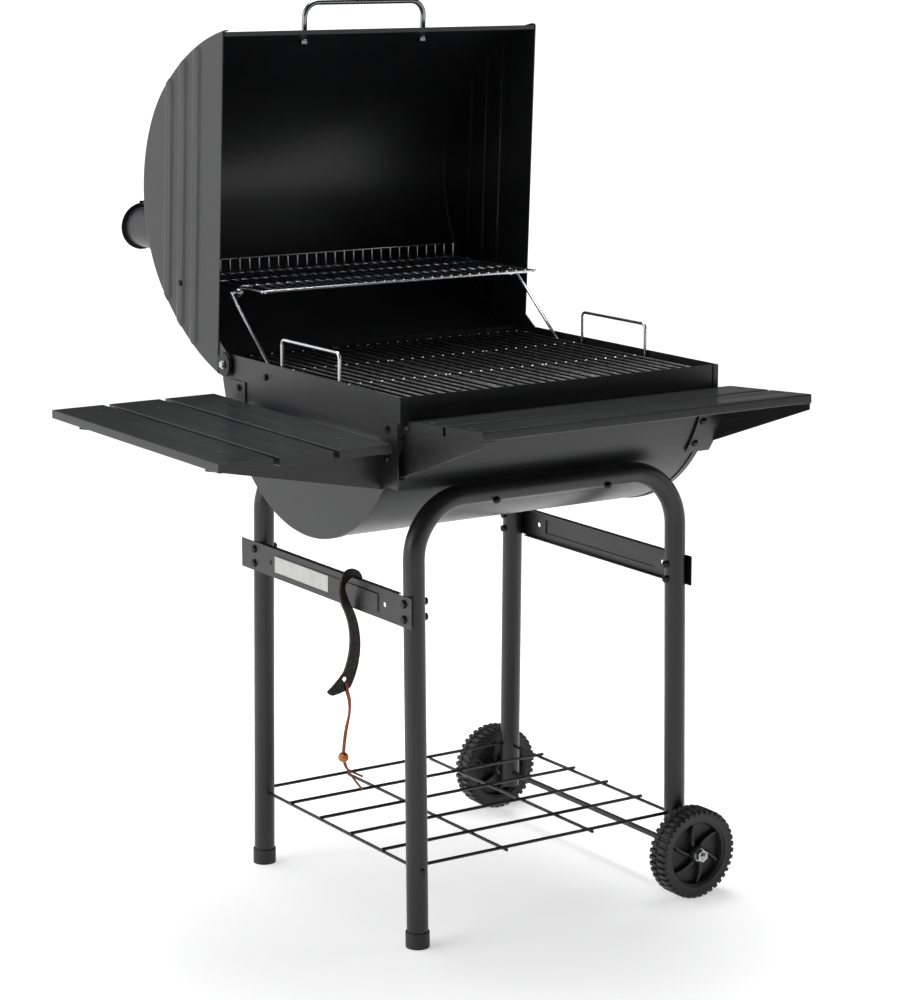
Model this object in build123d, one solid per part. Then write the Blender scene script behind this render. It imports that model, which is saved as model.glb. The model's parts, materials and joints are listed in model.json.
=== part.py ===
from build123d import *
import math
import os

# Barrel charcoal grill on a wheeled tube frame, with its lid standing open.
# Millimetres. X runs along the barrel, -Y is the front, Z is up, and the floor is at Z = 0.

# --- barrel ---
body_length = 570.0        # over the outside of the two end plates
body_width = 520.0         # front to back at the rim
rim_height = 825.0
skirt_height = 42.0        # upright band under the rim
bowl_depth = 204.0         # curved part below the skirt
sheet = 1.5                # pressed steel of barrel, lid and ends
seam_gap = 0.1             # between a sheet and the flange that wraps it
end_flange = 9.0           # how far an end plate wraps the shell
rim_hem = 7.0              # folded edge along the long sides

# --- lid ---
lid_front_overhang = 10.0  # lid edge in front of the barrel's front
lid_rear_overhang = 4.0
lid_height = 261.0
lid_roundness = 0.847      # radius at the top of the lid over its half width
lid_flank_start = 47.0     # degrees from the top where the flatter flank begins
lid_side_gap = 3.5         # from a barrel end to the inside of the lid end
lid_seat_gap = 0.5         # closed lid edge above the rim
lid_hem = 14.0
open_angle = 87.0
hinge_inset = 14.0         # hinge axis in front of the barrel's back
hinge_drop = 17.0          # hinge axis below the rim
ear_radius = 21.0
hinge_bolt = 8.0
hinge_washer = 38.0
rib_width = 26.0
rib_rise = 2.5
rib_places = ((82.0, 237.0), (127.0, 216.0), (172.0, 180.0))  # height above the lid edge, half length

# --- chimney ---
chimney_x = -217.0
chimney_y = 92.0           # with the lid shut
chimney_length = 405.0     # top of the pipe above the lid edge
chimney_bore = 64.0
chimney_wall = 1.2
chimney_flange = 104.0
cap_diameter = 79.0
cap_gap = 0.4

# --- lid handle ---
handle_span = 222.0
handle_reach = 58.0
handle_rod = 9.0
handle_rise = 62.0         # above the lid edge
handle_corner = 24.0

# --- warming rack and its parallelogram ---
strut_pivot_y = 124.5
strut_pivot_drop = 21.7    # below the rim
link_y = 136.0             # from each fixed pivot to the rack, lid open
link_z = 113.0
strut_inset = 16.0         # from the outside of a barrel end to a strut
strut_eye = 6.0            # length of the eye at the foot of a strut
link_wire = 5.0
rack_inset = 33.0          # from a barrel end to the end of the rack
rack_front_y = 185.0
rack_rear_y = 422.0
rack_level = 925.0         # centre of the rack's frame wire
rack_fence = 24.0
rack_wires = 29
rack_wire = 3.0
rack_side_wire = 4.6       # thinner than the rails it runs into
rack_wire_lift = 0.7       # thin wires above the middle of the rails
rack_eye = 15.0
pivot_bolt = 5.0
pin_clearance = 0.4        # round the strut pin, the pivot where the linkage is open
pin_fit = 0.15

# --- grates and charcoal tray ---
grate_inset = 22.0         # from a barrel end to the grates
grate_sections = 3
grate_split = 2.0
grate_wires = 10
grate_wire = 4.5
grate_rod = 6.0
grate_drop = 6.0           # top of the grate below the rim
grate_side_inset = 10.0    # from a long side to the grates
grate_rod_inset = 5.0
rail_leg = 16.0
rail_inset = 13.0
seat_gap = 0.3             # a piece that rests on another
tray_level = 690.0
tray_inset = 23.0
tray_wall = 30.0
tray_slots = 7
tray_slot = 8.0
lift_span = 168.0
lift_above_rim = 41.0
lift_wire = 5.0
lift_inset = 6.0

# --- air damper ---
damper_height = 678.0
damper_diameter = 84.0
damper_hole = 20.0
damper_ring = 25.0
damper_holes = 3

# --- tube frames ---
tube = 32.0
tube_wall = 1.5
leg_x = 237.0
frame_y = 218.0            # tube centre under the barrel
frame_splay = 0.86         # degrees, legs lean outward
bend_radius = 88.0
sleeve_length = 120.0
sleeve_gap = 0.15
foot_cap_wall = 2.0
foot_cap_height = 24.0
foot_sole = 5.0
right_leg_bottom = 48.0
barrel_bolt = 6.0
barrel_bolt_x = 101.0

# --- braces ---
brace_level = 504.0
brace_height = 46.0
brace_front_y = -240.0
brace_rear_y = 260.0
brace_lip = 8.0
brace_panel = 28.0
brace_panel_half = 151.0
brace_rise = 2.0
brace_bolt = 6.0
brace_bolt_pitch = 23.0
brace_hole = 8.0
brace_hole_y = 167.0
label_length = 161.0
label_height = 25.0
label_rear_y = 151.0
label_thickness = 0.4

# --- bottom shelf, axle and wheels ---
shelf_level = 118.0
shelf_wire = 5.0
shelf_cross_wires = 6
shelf_long_wires = 2       # between the two outer ones
wheel_diameter = 140.0
wheel_width = 38.0
wheel_y = 271.0
wheel_bore_gap = 0.25
tread_blocks = 26
tread_depth = 4.0
wheel_spokes = 6
axle_diameter = 9.0
axle_nut = 17.0

# --- side shelf, on the left ---
side_boards = 3
side_board_width = 86.0
side_board_gap = 9.5
side_board_front = -272.0
side_board_rear = 250.0
side_shelf_level = 763.0   # top face
side_shelf_gap = 21.0      # from the barrel end
board_thickness = 13.0
side_bracket_spacing = 394.0
side_bracket_depth = 64.0

# --- front shelf ---
front_boards = 2
front_board_width = 92.0
front_board_gap = 7.0
front_board_left = -276.0
front_board_right = 304.0
front_shelf_level = 791.0  # top face at the barrel
front_shelf_gap = 4.0
front_shelf_tilt = 4.0     # degrees, outer edge up
front_bracket_depth = 78.0

bracket_sheet = 2.0
bracket_flange = 22.0
board_screw = 5.0
bracket_bolt = 6.0

# --- hook tool and its lanyard ---
tool_y = -80.0
tool_thickness = 6.0
hook_gap = 0.8             # between the hook's throat and the brace's lip
hook_rest = 0.3            # between the hook's shank and the brace's panel
lanyard = 3.2
bead_diameter = 16.0
bead_bore = 9.0

# --- values that follow from the sizes above ---
half_length = body_length / 2
half_width = body_width / 2
bowl_radius = (half_width**2 + bowl_depth**2) / (2 * bowl_depth)
bowl_centre_z = rim_height - skirt_height - bowl_depth + bowl_radius
shell_inset = sheet + seam_gap
barrel_inside = shell_inset + sheet
hinge_y = half_width - hinge_inset
hinge_z = rim_height - hinge_drop
lid_width = body_width + lid_front_overhang + lid_rear_overhang
lid_half = lid_width / 2
lid_y = half_width + lid_rear_overhang - lid_half
lid_edge = rim_height + lid_seat_gap
lid_end_x = half_length + lid_side_gap + sheet
strut_x = half_length - strut_inset
rack_half_length = half_length - rack_inset
grate_half_length = half_length - grate_inset
grate_half_depth = half_width - grate_side_inset
rail_half_length = half_length - rail_inset
tray_half_length = half_length - tray_inset
lift_x = half_length - lift_inset
foot_cap = tube + 2 * foot_cap_wall
tube_z = bowl_centre_z - math.sqrt((bowl_radius + tube / 2 + 0.2) ** 2 - frame_y**2)
axle_z = wheel_diameter / 2
strut_pivot_z = rim_height - strut_pivot_drop
grate_wire_z = rim_height - grate_drop - grate_wire / 2
grate_rod_z = grate_wire_z - (grate_wire + grate_rod) / 2 + 0.6
rail_top = grate_rod_z - grate_rod / 2 - seat_gap
barrel_inner_radius = bowl_radius - barrel_inside
tray_half_width = math.sqrt(barrel_inner_radius**2 - (bowl_centre_z - tray_level) ** 2) - seat_gap

lid_swing = (
    Location((0, hinge_y, hinge_z)) * Rot(X=-open_angle) * Location((0, -hinge_y, -hinge_z))
)
nodes = {}


def block(x, y, z):
    """A box from three (low, high) pairs."""
    size = [span[1] - span[0] for span in (x, y, z)]
    middle = [(span[0] + span[1]) / 2 for span in (x, y, z)]
    return Pos(*middle) * Box(*size)


def rod(start, end, diameter):
    start, end = Vector(start), Vector(end)
    run = end - start
    place = Plane(origin=start, z_dir=run)
    low = (Align.CENTER, Align.CENTER, Align.MIN)
    return place * Cylinder(diameter / 2, run.length, align=low)


def pipe(start, end, diameter, bore):
    return rod(start, end, diameter) - rod(start, end, bore)


def wire(points, diameter, radius):
    """A round bar along straight runs joined by arcs."""
    path = FilletPolyline(*points, radius=radius)
    return sweep(Plane(origin=path @ 0, z_dir=path % 0) * Circle(diameter / 2), path=path)


def plate(outline, x, thickness):
    """A YZ outline, given as a face on the XY plane, stood up at x and thickened toward +X."""
    return Plane(origin=(x, 0, 0), x_dir=(0, 1, 0), z_dir=(1, 0, 0)) * extrude(outline, thickness)


def bolt(seat, axis, diameter, length, head, head_height):
    """A domed head outside the seat and a shank along the axis."""
    seat, axis = Vector(seat), Vector(axis).normalized()
    face = Plane(origin=seat, z_dir=-1 * axis)
    half = head / 2
    edge = (half, head_height * 0.35)
    dome = Polyline((0, 0), (half, 0), edge, (half * 0.7, head_height), (0, head_height), close=True)
    top = face * (Rot(X=90) * revolve(make_face(dome), Axis.Y))
    return top + rod(seat - axis * 0.5, seat + axis * length, diameter)


def nut(seat, axis, diameter, flats, height, acorn=False):
    """A hexagon nut on its seat; an acorn nut has a closed dome on top."""
    seat, axis = Vector(seat), Vector(axis).normalized()
    place = Plane(origin=seat, z_dir=axis)
    body = place * extrude(RegularPolygon(flats / 2, 6, major_radius=False), height)
    if acorn:
        dome = Plane(origin=seat + axis * height, z_dir=axis) * Sphere(flats * 0.45, 0, 90)
        body = body + dome
    return body - rod(seat - axis, seat + axis * (height + 0.6), diameter + 0.1)


def bolt_and_nut(seat, axis, diameter, grip, head, flats, acorn=False):
    """A bolt through a stack of thickness grip, with its nut on the far side."""
    seat, axis = Vector(seat), Vector(axis).normalized()
    height = diameter * 0.8
    shank = bolt(seat, axis, diameter, grip + height, head, diameter * 0.6)
    return [shank, nut(seat + axis * (grip + 0.05), axis, diameter, flats, height, acorn)]


def leg_y(side, z):
    """Y of a leg's centre at a height; side is -1 at the front and 1 at the back."""
    return side * (frame_y + (tube_z - z) * math.tan(math.radians(frame_splay)))


# ------------------------------------------------------------------ barrel
def bowl_outline(inset):
    """The barrel's cross-section, drawn in from its outside by inset and open to the rim."""
    half = half_width - inset
    radius = bowl_radius - inset
    joint_z = bowl_centre_z - math.sqrt(radius**2 - half**2)
    bottom = bowl_centre_z - radius
    edge = Polyline((-half, joint_z), (-half, rim_height), (half, rim_height), (half, joint_z))
    arc = ThreePointArc((half, joint_z), (0, bottom), (-half, joint_z))
    return make_face(edge + arc)


def make_barrel_shell():
    reach = half_length - shell_inset
    outside = plate(bowl_outline(shell_inset), -reach, 2 * reach)
    shell = outside - plate(bowl_outline(barrel_inside), -reach, 2 * reach)
    wall = half_width - barrel_inside
    for side in (-1, 1):
        fold = sorted((side * (wall + 0.5), side * (wall - 1.0)))
        shell += block((-reach, reach), fold, (rim_height - rim_hem, rim_height))
    for x, y in ((x, y) for x in (-barrel_bolt_x, barrel_bolt_x) for y in (-frame_y, frame_y)):
        shell -= rod((x, 0, bowl_centre_z), (x, y, tube_z), barrel_bolt + 0.6)
    return shell


def make_barrel_end(side):
    """An end plate with the flange that wraps the shell."""
    solid = plate(bowl_outline(0), -half_length, end_flange)
    hollow = plate(bowl_outline(sheet), -half_length + sheet, end_flange)
    rim_cut = block((-half_length + sheet, 0), (sheet - half_width, half_width - sheet),
                    (rim_height - 60, rim_height + 1))
    end = solid - hollow - rim_cut
    for y, z, hole in end_holes(side):
        end -= rod((-half_length - 1, y, z), (-half_length + 3, y, z), hole)
    if side > 0:
        end = mirror(end, about=Plane.YZ)
    return end


def end_holes(side):
    holes = [(hinge_y, hinge_z, hinge_bolt + 0.3), (strut_pivot_y, strut_pivot_z, pivot_bolt + 0.3)]
    if side < 0:
        for bracket_side in (-1, 1):
            holes += [(y, z, bracket_bolt + 0.6) for y, z in side_bracket_bolt_places(bracket_side)]
    else:
        holes += [(y, z, damper_hole) for y, z in damper_places(0)]
        holes.append((0, damper_height, pivot_bolt + 0.3))
    return holes


def damper_places(turn):
    angles = [math.radians(turn + 90 + 360 * i / damper_holes) for i in range(damper_holes)]
    return [(damper_ring * math.cos(a), damper_height + damper_ring * math.sin(a)) for a in angles]


def make_air_damper():
    x = half_length + seat_gap
    disc = rod((x, 0, damper_height), (x + 1.2, 0, damper_height), damper_diameter)
    for y, z in damper_places(0):
        disc -= rod((x - 1, y, z), (x + 3, y, z), damper_hole)
    disc -= rod((x - 1, 0, damper_height), (x + 3, 0, damper_height), pivot_bolt + 2 * pin_fit)
    top = damper_height + damper_diameter / 2
    disc += block((x, x + 1.2), (-7, 7), (top - 4, top + 12))
    disc += block((x, x + 14), (-7, 7), (top + 10.8, top + 12))
    return disc


def make_damper_rivet():
    seat = (half_length + seat_gap + 1.2 + 0.1, 0, damper_height)
    rivet = bolt(seat, (-1, 0, 0), pivot_bolt, sheet + seat_gap + 1.3, 11, 3)
    tail = half_length - sheet
    return rivet + rod((tail, 0, damper_height), (tail - 2, 0, damper_height), 9)


def make_grate_rails():
    """Two angle rails inside the skirts that carry the cooking grates."""
    wall = half_width - barrel_inside - 0.1
    rails = []
    for side in (-1, 1):
        ledge = sorted((side * wall, side * (wall - rail_leg)))
        upright = sorted((side * wall, side * (wall - sheet)))
        span = (-rail_half_length, rail_half_length)
        rail = block(span, ledge, (rail_top - sheet, rail_top))
        rails.append(rail + block(span, upright, (rail_top - 14, rail_top)))
    return rails


# ------------------------------------------------------------------ grates and tray
def grate_span(index):
    length = (2 * grate_half_length - (grate_sections - 1) * grate_split) / grate_sections
    left = -grate_half_length + index * (length + grate_split)
    return left, left + length


def make_cooking_grate(index):
    left, right = grate_span(index)
    reach = grate_half_depth - grate_rod_inset
    bars = []
    for i in range(4):
        y = -reach + 2 * reach * i / 3
        bars.append(rod((left, y, grate_rod_z), (right, y, grate_rod_z), grate_rod))
    step = (right - left - grate_wire) / (grate_wires - 1)
    for i in range(grate_wires):
        x = left + grate_wire / 2 + i * step
        ends = (-grate_half_depth, grate_half_depth)
        bars.append(rod((x, ends[0], grate_wire_z), (x, ends[1], grate_wire_z), grate_wire))
    return bars[0].fuse(*bars[1:])


def make_charcoal_tray():
    x, y, z = tray_half_length, tray_half_width, tray_level
    tray = block((-x, x), (-y, y), (z, z + tray_wall))
    tray -= block((sheet - x, x - sheet), (sheet - y, y - sheet), (z + sheet, z + tray_wall + 1))
    pitch_x = 2 * x / tray_slots
    pitch_y = 2 * y / 6
    cuts = []
    for i in range(tray_slots):
        for j in range(6):
            centre = (-x + pitch_x * (i + 0.5), -y + pitch_y * (j + 0.5))
            cuts.append(Pos(centre[0], centre[1], z) * Box(pitch_x * 0.62, tray_slot, 8))
    tray -= cuts
    for side in (-1, 1):
        for leg in (-1, 1):
            at = (side * (x - 4), leg * lift_span / 2, z + 18)
            tray -= rod(at, (side * (x + 2), at[1], at[2]), lift_wire + 0.4)
    return tray


def make_lift_handles():
    """One bent wire at each end of the tray, hooked through its end wall."""
    top = rim_height + lift_above_rim
    handles = []
    for side in (-1, 1):
        inner = side * (tray_half_length - 8)
        x = side * lift_x
        y = lift_span / 2
        low = tray_level + 18
        route = [(inner, -y, low), (x, -y, low), (x, -y, top), (x, y, top), (x, y, low), (inner, y, low)]
        handles.append(wire(route, lift_wire, 8))
    return handles


# ------------------------------------------------------------------ tube frames
def make_frame_half(front, left):
    """Half of an inverted U of tube: a leg, a bend and half of the bar under the barrel."""
    side_x = -1 if left else 1
    side_y = -1 if front else 1
    bottom = foot_sole if left else right_leg_bottom
    path = FilletPolyline((side_x * 0.15, 0, 0), (side_x * leg_x, 0, 0),
                          (side_x * leg_x, 0, bottom - tube_z), radius=bend_radius)
    ring = Circle(tube / 2) - Circle(tube / 2 - tube_wall)
    half = sweep(Plane(origin=path @ 0, z_dir=path % 0) * ring, path=path)
    half = Pos(0, side_y * frame_y, tube_z) * Rot(X=side_y * frame_splay) * half
    bolt_x = side_x * barrel_bolt_x
    half -= rod((bolt_x, 0, bowl_centre_z), radial_point(bolt_x, side_y, 60), barrel_bolt + 0.6)
    for z in brace_bolt_heights():
        y = leg_y(side_y, z)
        half -= rod((side_x * (leg_x - 30), y, z), (side_x * (leg_x + 30), y, z), brace_bolt + 0.6)
    half -= shelf_screw_hole(side_x, side_y)
    if not left:
        half -= rod((leg_x, side_y * 150, axle_z), (leg_x, side_y * 300, axle_z), axle_diameter + 0.3)
    return half


def radial_point(x, side_y, beyond):
    """A point on the line from the barrel's axis through a tube's centre."""
    reach = bowl_radius + tube / 2 + 0.2
    scale = (reach + beyond) / reach
    return (x, side_y * frame_y * scale, bowl_centre_z + (tube_z - bowl_centre_z) * scale)


def brace_bolt_heights():
    return [brace_level - brace_bolt_pitch / 2, brace_level + brace_bolt_pitch / 2]


def make_frame_sleeves():
    outer = tube - 2 * tube_wall - 2 * sleeve_gap
    sleeves = []
    for side_y in (-1, 1):
        ends = [(x, side_y * frame_y, tube_z) for x in (-sleeve_length / 2, sleeve_length / 2)]
        sleeves.append(pipe(ends[0], ends[1], outer, outer - 2 * tube_wall))
    return sleeves


def make_barrel_bolts():
    pieces = []
    for x in (-barrel_bolt_x, barrel_bolt_x):
        for side_y in (-1, 1):
            reach = bowl_radius + tube / 2 + 0.2
            inner = Vector(*radial_point(x, side_y, -reach + barrel_inner_radius))
            outward = Vector(0, side_y * frame_y, tube_z - bowl_centre_z).normalized()
            grip = bowl_radius - barrel_inner_radius + tube + 0.4
            pieces += bolt_and_nut(inner - outward * 0.1, outward, barrel_bolt, grip, 14, 10, True)
    return pieces


def make_foot_caps():
    caps = []
    for side_y in (-1, 1):
        lean = math.radians(frame_splay)
        direction = Vector(0, side_y * math.sin(lean), -math.cos(lean))
        sole = Vector(-leg_x, leg_y(side_y, foot_sole), foot_sole)
        rim = sole - direction * (foot_cap_height - foot_sole)
        cap = rod(rim, sole + direction * (foot_sole + 3), foot_cap)
        cap -= rod(rim - direction, sole + direction * 0.1, tube + 0.2)
        floor = block((-leg_x - 60, -leg_x + 60), (-400, 400), (-40, 0))
        caps.append(cap - floor)
    return caps


# ------------------------------------------------------------------ braces
def make_brace(side):
    """A pressed strip with lips and a raised panel, bolted outside the two legs of one end."""
    x = -(leg_x + tube / 2 + 0.2)
    low, high = brace_level - brace_height / 2, brace_level + brace_height / 2
    span = (brace_front_y, brace_rear_y)
    strip = block((x - sheet, x), span, (low, high))
    inner_span = (leg_y(-1, low) + tube / 2 + 6, leg_y(1, low) - tube / 2 - 6)
    for z in ((low, low + sheet), (high - sheet, high)):
        strip += block((x - sheet, x + brace_lip), inner_span, z)
    panel_z = (brace_level - brace_panel / 2, brace_level + brace_panel / 2)
    panel = block((x - sheet - brace_rise, x - sheet + 0.2), (-brace_panel_half, brace_panel_half), panel_z)
    panel = chamfer(panel.faces().sort_by(Axis.X)[0].edges(), brace_rise * 0.7)
    strip += panel
    strip -= block((x - brace_rise, x + 0.1), (-brace_panel_half + 3, brace_panel_half - 3),
                   (panel_z[0] + 3, panel_z[1] - 3))
    for side_y in (-1, 1):
        places = [(leg_y(side_y, z), z, brace_bolt + 0.6) for z in brace_bolt_heights()]
        places.append((side_y * brace_hole_y, brace_level, brace_hole))
        for y, z, hole in places:
            strip -= rod((x - 5, y, z), (x + 2, y, z), hole)
    return strip if side < 0 else mirror(strip, about=Plane.YZ)


def make_brace_bolts():
    pieces = []
    face = leg_x + tube / 2 + 0.2 + sheet
    for side_x in (-1, 1):
        for side_y in (-1, 1):
            for z in brace_bolt_heights():
                seat = (side_x * (face + 0.1), leg_y(side_y, z), z)
                pieces += bolt_and_nut(seat, (-side_x, 0, 0), brace_bolt, sheet + tube + 0.5, 13, 10, True)
    return pieces


def make_brace_label():
    x = -(leg_x + tube / 2 + 0.2 + sheet + brace_rise + 0.05)
    low = brace_level - label_height / 2
    span = (label_rear_y - label_length, label_rear_y)
    return block((x - label_thickness, x), span, (low, low + label_height))


# ------------------------------------------------------------------ bottom shelf, axle, wheels
def shelf_ends():
    return leg_y(1, shelf_level) - tube / 2 - 0.1, leg_x - tube / 2 - 0.1


def make_wire_shelf():
    """Wires from leg to leg round the outside, with more between them."""
    reach_y, reach_x = shelf_ends()
    row_y = leg_y(1, shelf_level)
    bars = []
    for x in (-leg_x, leg_x):
        bars.append(rod((x, -reach_y, shelf_level), (x, reach_y, shelf_level), shelf_wire))
    for i in range(shelf_long_wires):
        x = leg_x * (2 * (i + 1) / (shelf_long_wires + 1) - 1)
        bars.append(rod((x, -row_y - 3, shelf_level), (x, row_y + 3, shelf_level), shelf_wire))
    top = shelf_level + shelf_wire - 0.5
    for i in range(shelf_cross_wires):
        y = row_y * (2 * i / (shelf_cross_wires - 1) - 1)
        outer = i in (0, shelf_cross_wires - 1)
        end = reach_x if outer else leg_x + 5
        bars.append(rod((-end, y, top), (end, y, top), shelf_wire))
    return bars[0].fuse(*bars[1:])


def shelf_screw_hole(side_x, side_y):
    x = side_x * leg_x
    y = leg_y(side_y, shelf_level)
    return rod((x, side_y * 170, shelf_level), (x, y + side_y * 30, shelf_level), 4.6)


def make_shelf_screws():
    screws = []
    for side_x in (-1, 1):
        for side_y in (-1, 1):
            seat = (side_x * leg_x, leg_y(side_y, shelf_level) + side_y * (tube / 2 + 0.3), shelf_level)
            screws.append(bolt(seat, (0, -side_y, 0), 4.4, tube + 0.1, 9, 2.6))
    return screws


def make_axle():
    reach = wheel_y + wheel_width / 2 + 12
    return rod((leg_x, -reach, axle_z), (leg_x, reach, axle_z), axle_diameter)


def make_axle_fasteners():
    """A plain washer each side of each wheel and an acorn nut on each axle end."""
    pieces = []
    for side in (-1, 1):
        inner = side * (wheel_y - wheel_width / 2 - 0.2)
        outer = side * (wheel_y + wheel_width / 2 + 0.2)
        for seat, away in ((inner, -side), (outer, side)):
            ends = [(leg_x, seat, axle_z), (leg_x, seat + away * 1.6, axle_z)]
            pieces.append(pipe(ends[0], ends[1], 20, axle_diameter + 0.2))
        start = (leg_x, outer + side * 1.7, axle_z)
        cap = nut(start, (0, side, 0), axle_diameter, axle_nut, 8, True)
        pieces.append(cap - rod(start, (leg_x, start[1] + side * 10.5, axle_z), axle_diameter + 0.1))
    return pieces


def make_wheel(side):
    """A moulded wheel: blocky tread, rim, curved spokes and hub."""
    radius = wheel_diameter / 2
    half = wheel_width / 2
    wheel = Cylinder(radius, wheel_width) - Cylinder(radius * 0.72, wheel_width + 2)
    step = 360 / tread_blocks
    notch = Box(2 * tread_depth, 4.5, wheel_width * 0.36)
    cuts = []
    for i in range(tread_blocks):
        for row, shift in ((-1, 0.0), (1, 0.5)):
            turn = Rot(Z=(i + shift) * step)
            cuts.append(turn * Pos(radius, 0, row * wheel_width * 0.33) * notch)
    wheel = wheel - cuts
    wheel = wheel + Cylinder(19, wheel_width)
    web = Cylinder(radius * 0.74, 5) - Cylinder(16, 6)
    spoke = Pos(radius * 0.46, 0, 0) * Box(radius * 0.56, 9, wheel_width * 0.62)
    for i in range(wheel_spokes):
        wheel = wheel + Rot(Z=i * 360 / wheel_spokes) * spoke
    window = Pos(radius * 0.5, 0, 0) * Box(radius * 0.3, 22, 20)
    for i in range(wheel_spokes):
        web = web - Rot(Z=(i + 0.5) * 360 / wheel_spokes) * window
    wheel = wheel + web - Cylinder(axle_diameter / 2 + wheel_bore_gap, wheel_width + 4)
    return Pos(leg_x, side * wheel_y, axle_z) * Rot(X=90) * wheel


# ------------------------------------------------------------------ side shelf
def side_board_span(index):
    """Left and right X of a board, counted from the outer one."""
    total = side_boards * side_board_width + (side_boards - 1) * side_board_gap
    left = -half_length - side_shelf_gap - total + index * (side_board_width + side_board_gap)
    return left, left + side_board_width


def side_bracket_y(side):
    middle = (side_board_front + side_board_rear) / 2
    return middle + side * side_bracket_spacing / 2


def side_screw_y(side):
    return side_bracket_y(side) - side * bracket_flange / 2


def make_side_board(index):
    left, right = side_board_span(index)
    low = side_shelf_level - board_thickness
    board = block((left, right), (side_board_front, side_board_rear), (low, side_shelf_level))
    board = fillet(board.edges().filter_by(Axis.Y), 1.5)
    for side in (-1, 1):
        board -= countersink(((left + right) / 2, side_screw_y(side), side_shelf_level), Vector(0, 0, -1))
    return board


def countersink(top, axis):
    """The hole for a flat-headed board screw."""
    top = Vector(top)
    low = (Align.CENTER, Align.CENTER, Align.MIN)
    cone = Plane(origin=top - axis * 0.01, z_dir=axis) * Cone(5.6, 2.7, 3.2, align=low)
    return cone + rod(top, top + axis * (board_thickness + 4), board_screw + 0.4)


def board_screw_set(top, axis):
    """A flat-headed screw through a board and a bracket flange, with its nut."""
    top = Vector(top) + axis * 0.3
    low = (Align.CENTER, Align.CENTER, Align.MIN)
    head = Plane(origin=top, z_dir=axis) * Cone(5.2, 2.4, 2.9, align=low)
    slot = Plane(origin=top, z_dir=axis) * Box(1.2, 6, 1.6)
    grip = board_thickness - 0.3 + seat_gap + bracket_sheet
    shank = rod(top + axis * 2, top + axis * (grip + 4.5), board_screw)
    seat = top + axis * (grip + 0.05)
    return [head + shank - slot, nut(seat, axis, board_screw, 8, 3.6)]


def side_bracket_bolt_places(side):
    y = side_bracket_y(side) + side * 20
    return [(y, side_shelf_level - 28), (y, side_shelf_level + 13)]


def make_side_bracket(side):
    """A tapered arm under the boards, its top flange and its foot on the barrel end."""
    y = side_bracket_y(side)
    outer = side_board_span(0)[0] + 14
    inner = -half_length - 0.2
    top = side_shelf_level - board_thickness - seat_gap
    arm = make_face(Polyline((outer, top), (inner, top), (inner, top - side_bracket_depth),
                             (outer, top - 8), close=True))
    arm = Pos(0, y, 0) * extrude(Plane.XZ * arm, -bracket_sheet, dir=(0, 1, 0))
    inward = -side * bracket_flange
    flange_y = sorted((y, y + inward))
    arm += block((outer, inner), flange_y, (top - bracket_sheet, top))
    foot_y = sorted((y, y + side * 48))
    arm += block((inner - bracket_sheet, inner), foot_y,
                 (top - side_bracket_depth + 6, side_shelf_level + 24))
    lift = block((side_board_span(2)[1] + 2, inner + 1), flange_y, (top - 1, side_shelf_level + 30))
    arm -= lift
    for bolt_y, bolt_z in side_bracket_bolt_places(side):
        arm -= rod((inner - 6, bolt_y, bolt_z), (inner + 1, bolt_y, bolt_z), bracket_bolt + 0.6)
    for i in range(side_boards):
        x = sum(side_board_span(i)) / 2
        arm -= rod((x, side_screw_y(side), top - 8), (x, side_screw_y(side), top + 2), board_screw + 0.4)
    return arm


# ------------------------------------------------------------------ front shelf
def front_tilt():
    """From the level shelf to the tilted one, about the edge beside the barrel."""
    y = -half_width - front_shelf_gap
    back = Location((0, -y, -front_shelf_level))
    return Location((0, y, front_shelf_level)) * Rot(X=-front_shelf_tilt) * back


def front_board_span(index):
    """Near and far Y of a board, level, counted from the barrel."""
    near = -half_width - front_shelf_gap - index * (front_board_width + front_board_gap)
    return near - front_board_width, near


def front_screw_x(side):
    inset = bracket_flange / 2 + 1
    return front_board_left + inset if side < 0 else front_board_right - inset


def make_front_board(index):
    far, near = front_board_span(index)
    low = front_shelf_level - board_thickness
    board = block((front_board_left, front_board_right), (far, near), (low, front_shelf_level))
    board = fillet(board.edges().filter_by(Axis.X), 1.5)
    for side in (-1, 1):
        top = (front_screw_x(side), (far + near) / 2, front_shelf_level)
        board -= countersink(top, Vector(0, 0, -1))
    return front_tilt() * board


def front_bolt_places(side):
    """Seats of the two bolts that hold a front bracket to the barrel, as (x, angle below level)."""
    x = front_board_left + 14 if side < 0 else half_length - end_flange - 8
    return [(x, 24.0), (x, 33.0)]


def bowl_point(x, angle, radius, side_y=-1):
    a = math.radians(angle)
    return (x, side_y * radius * math.cos(a), bowl_centre_z - radius * math.sin(a))


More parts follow.
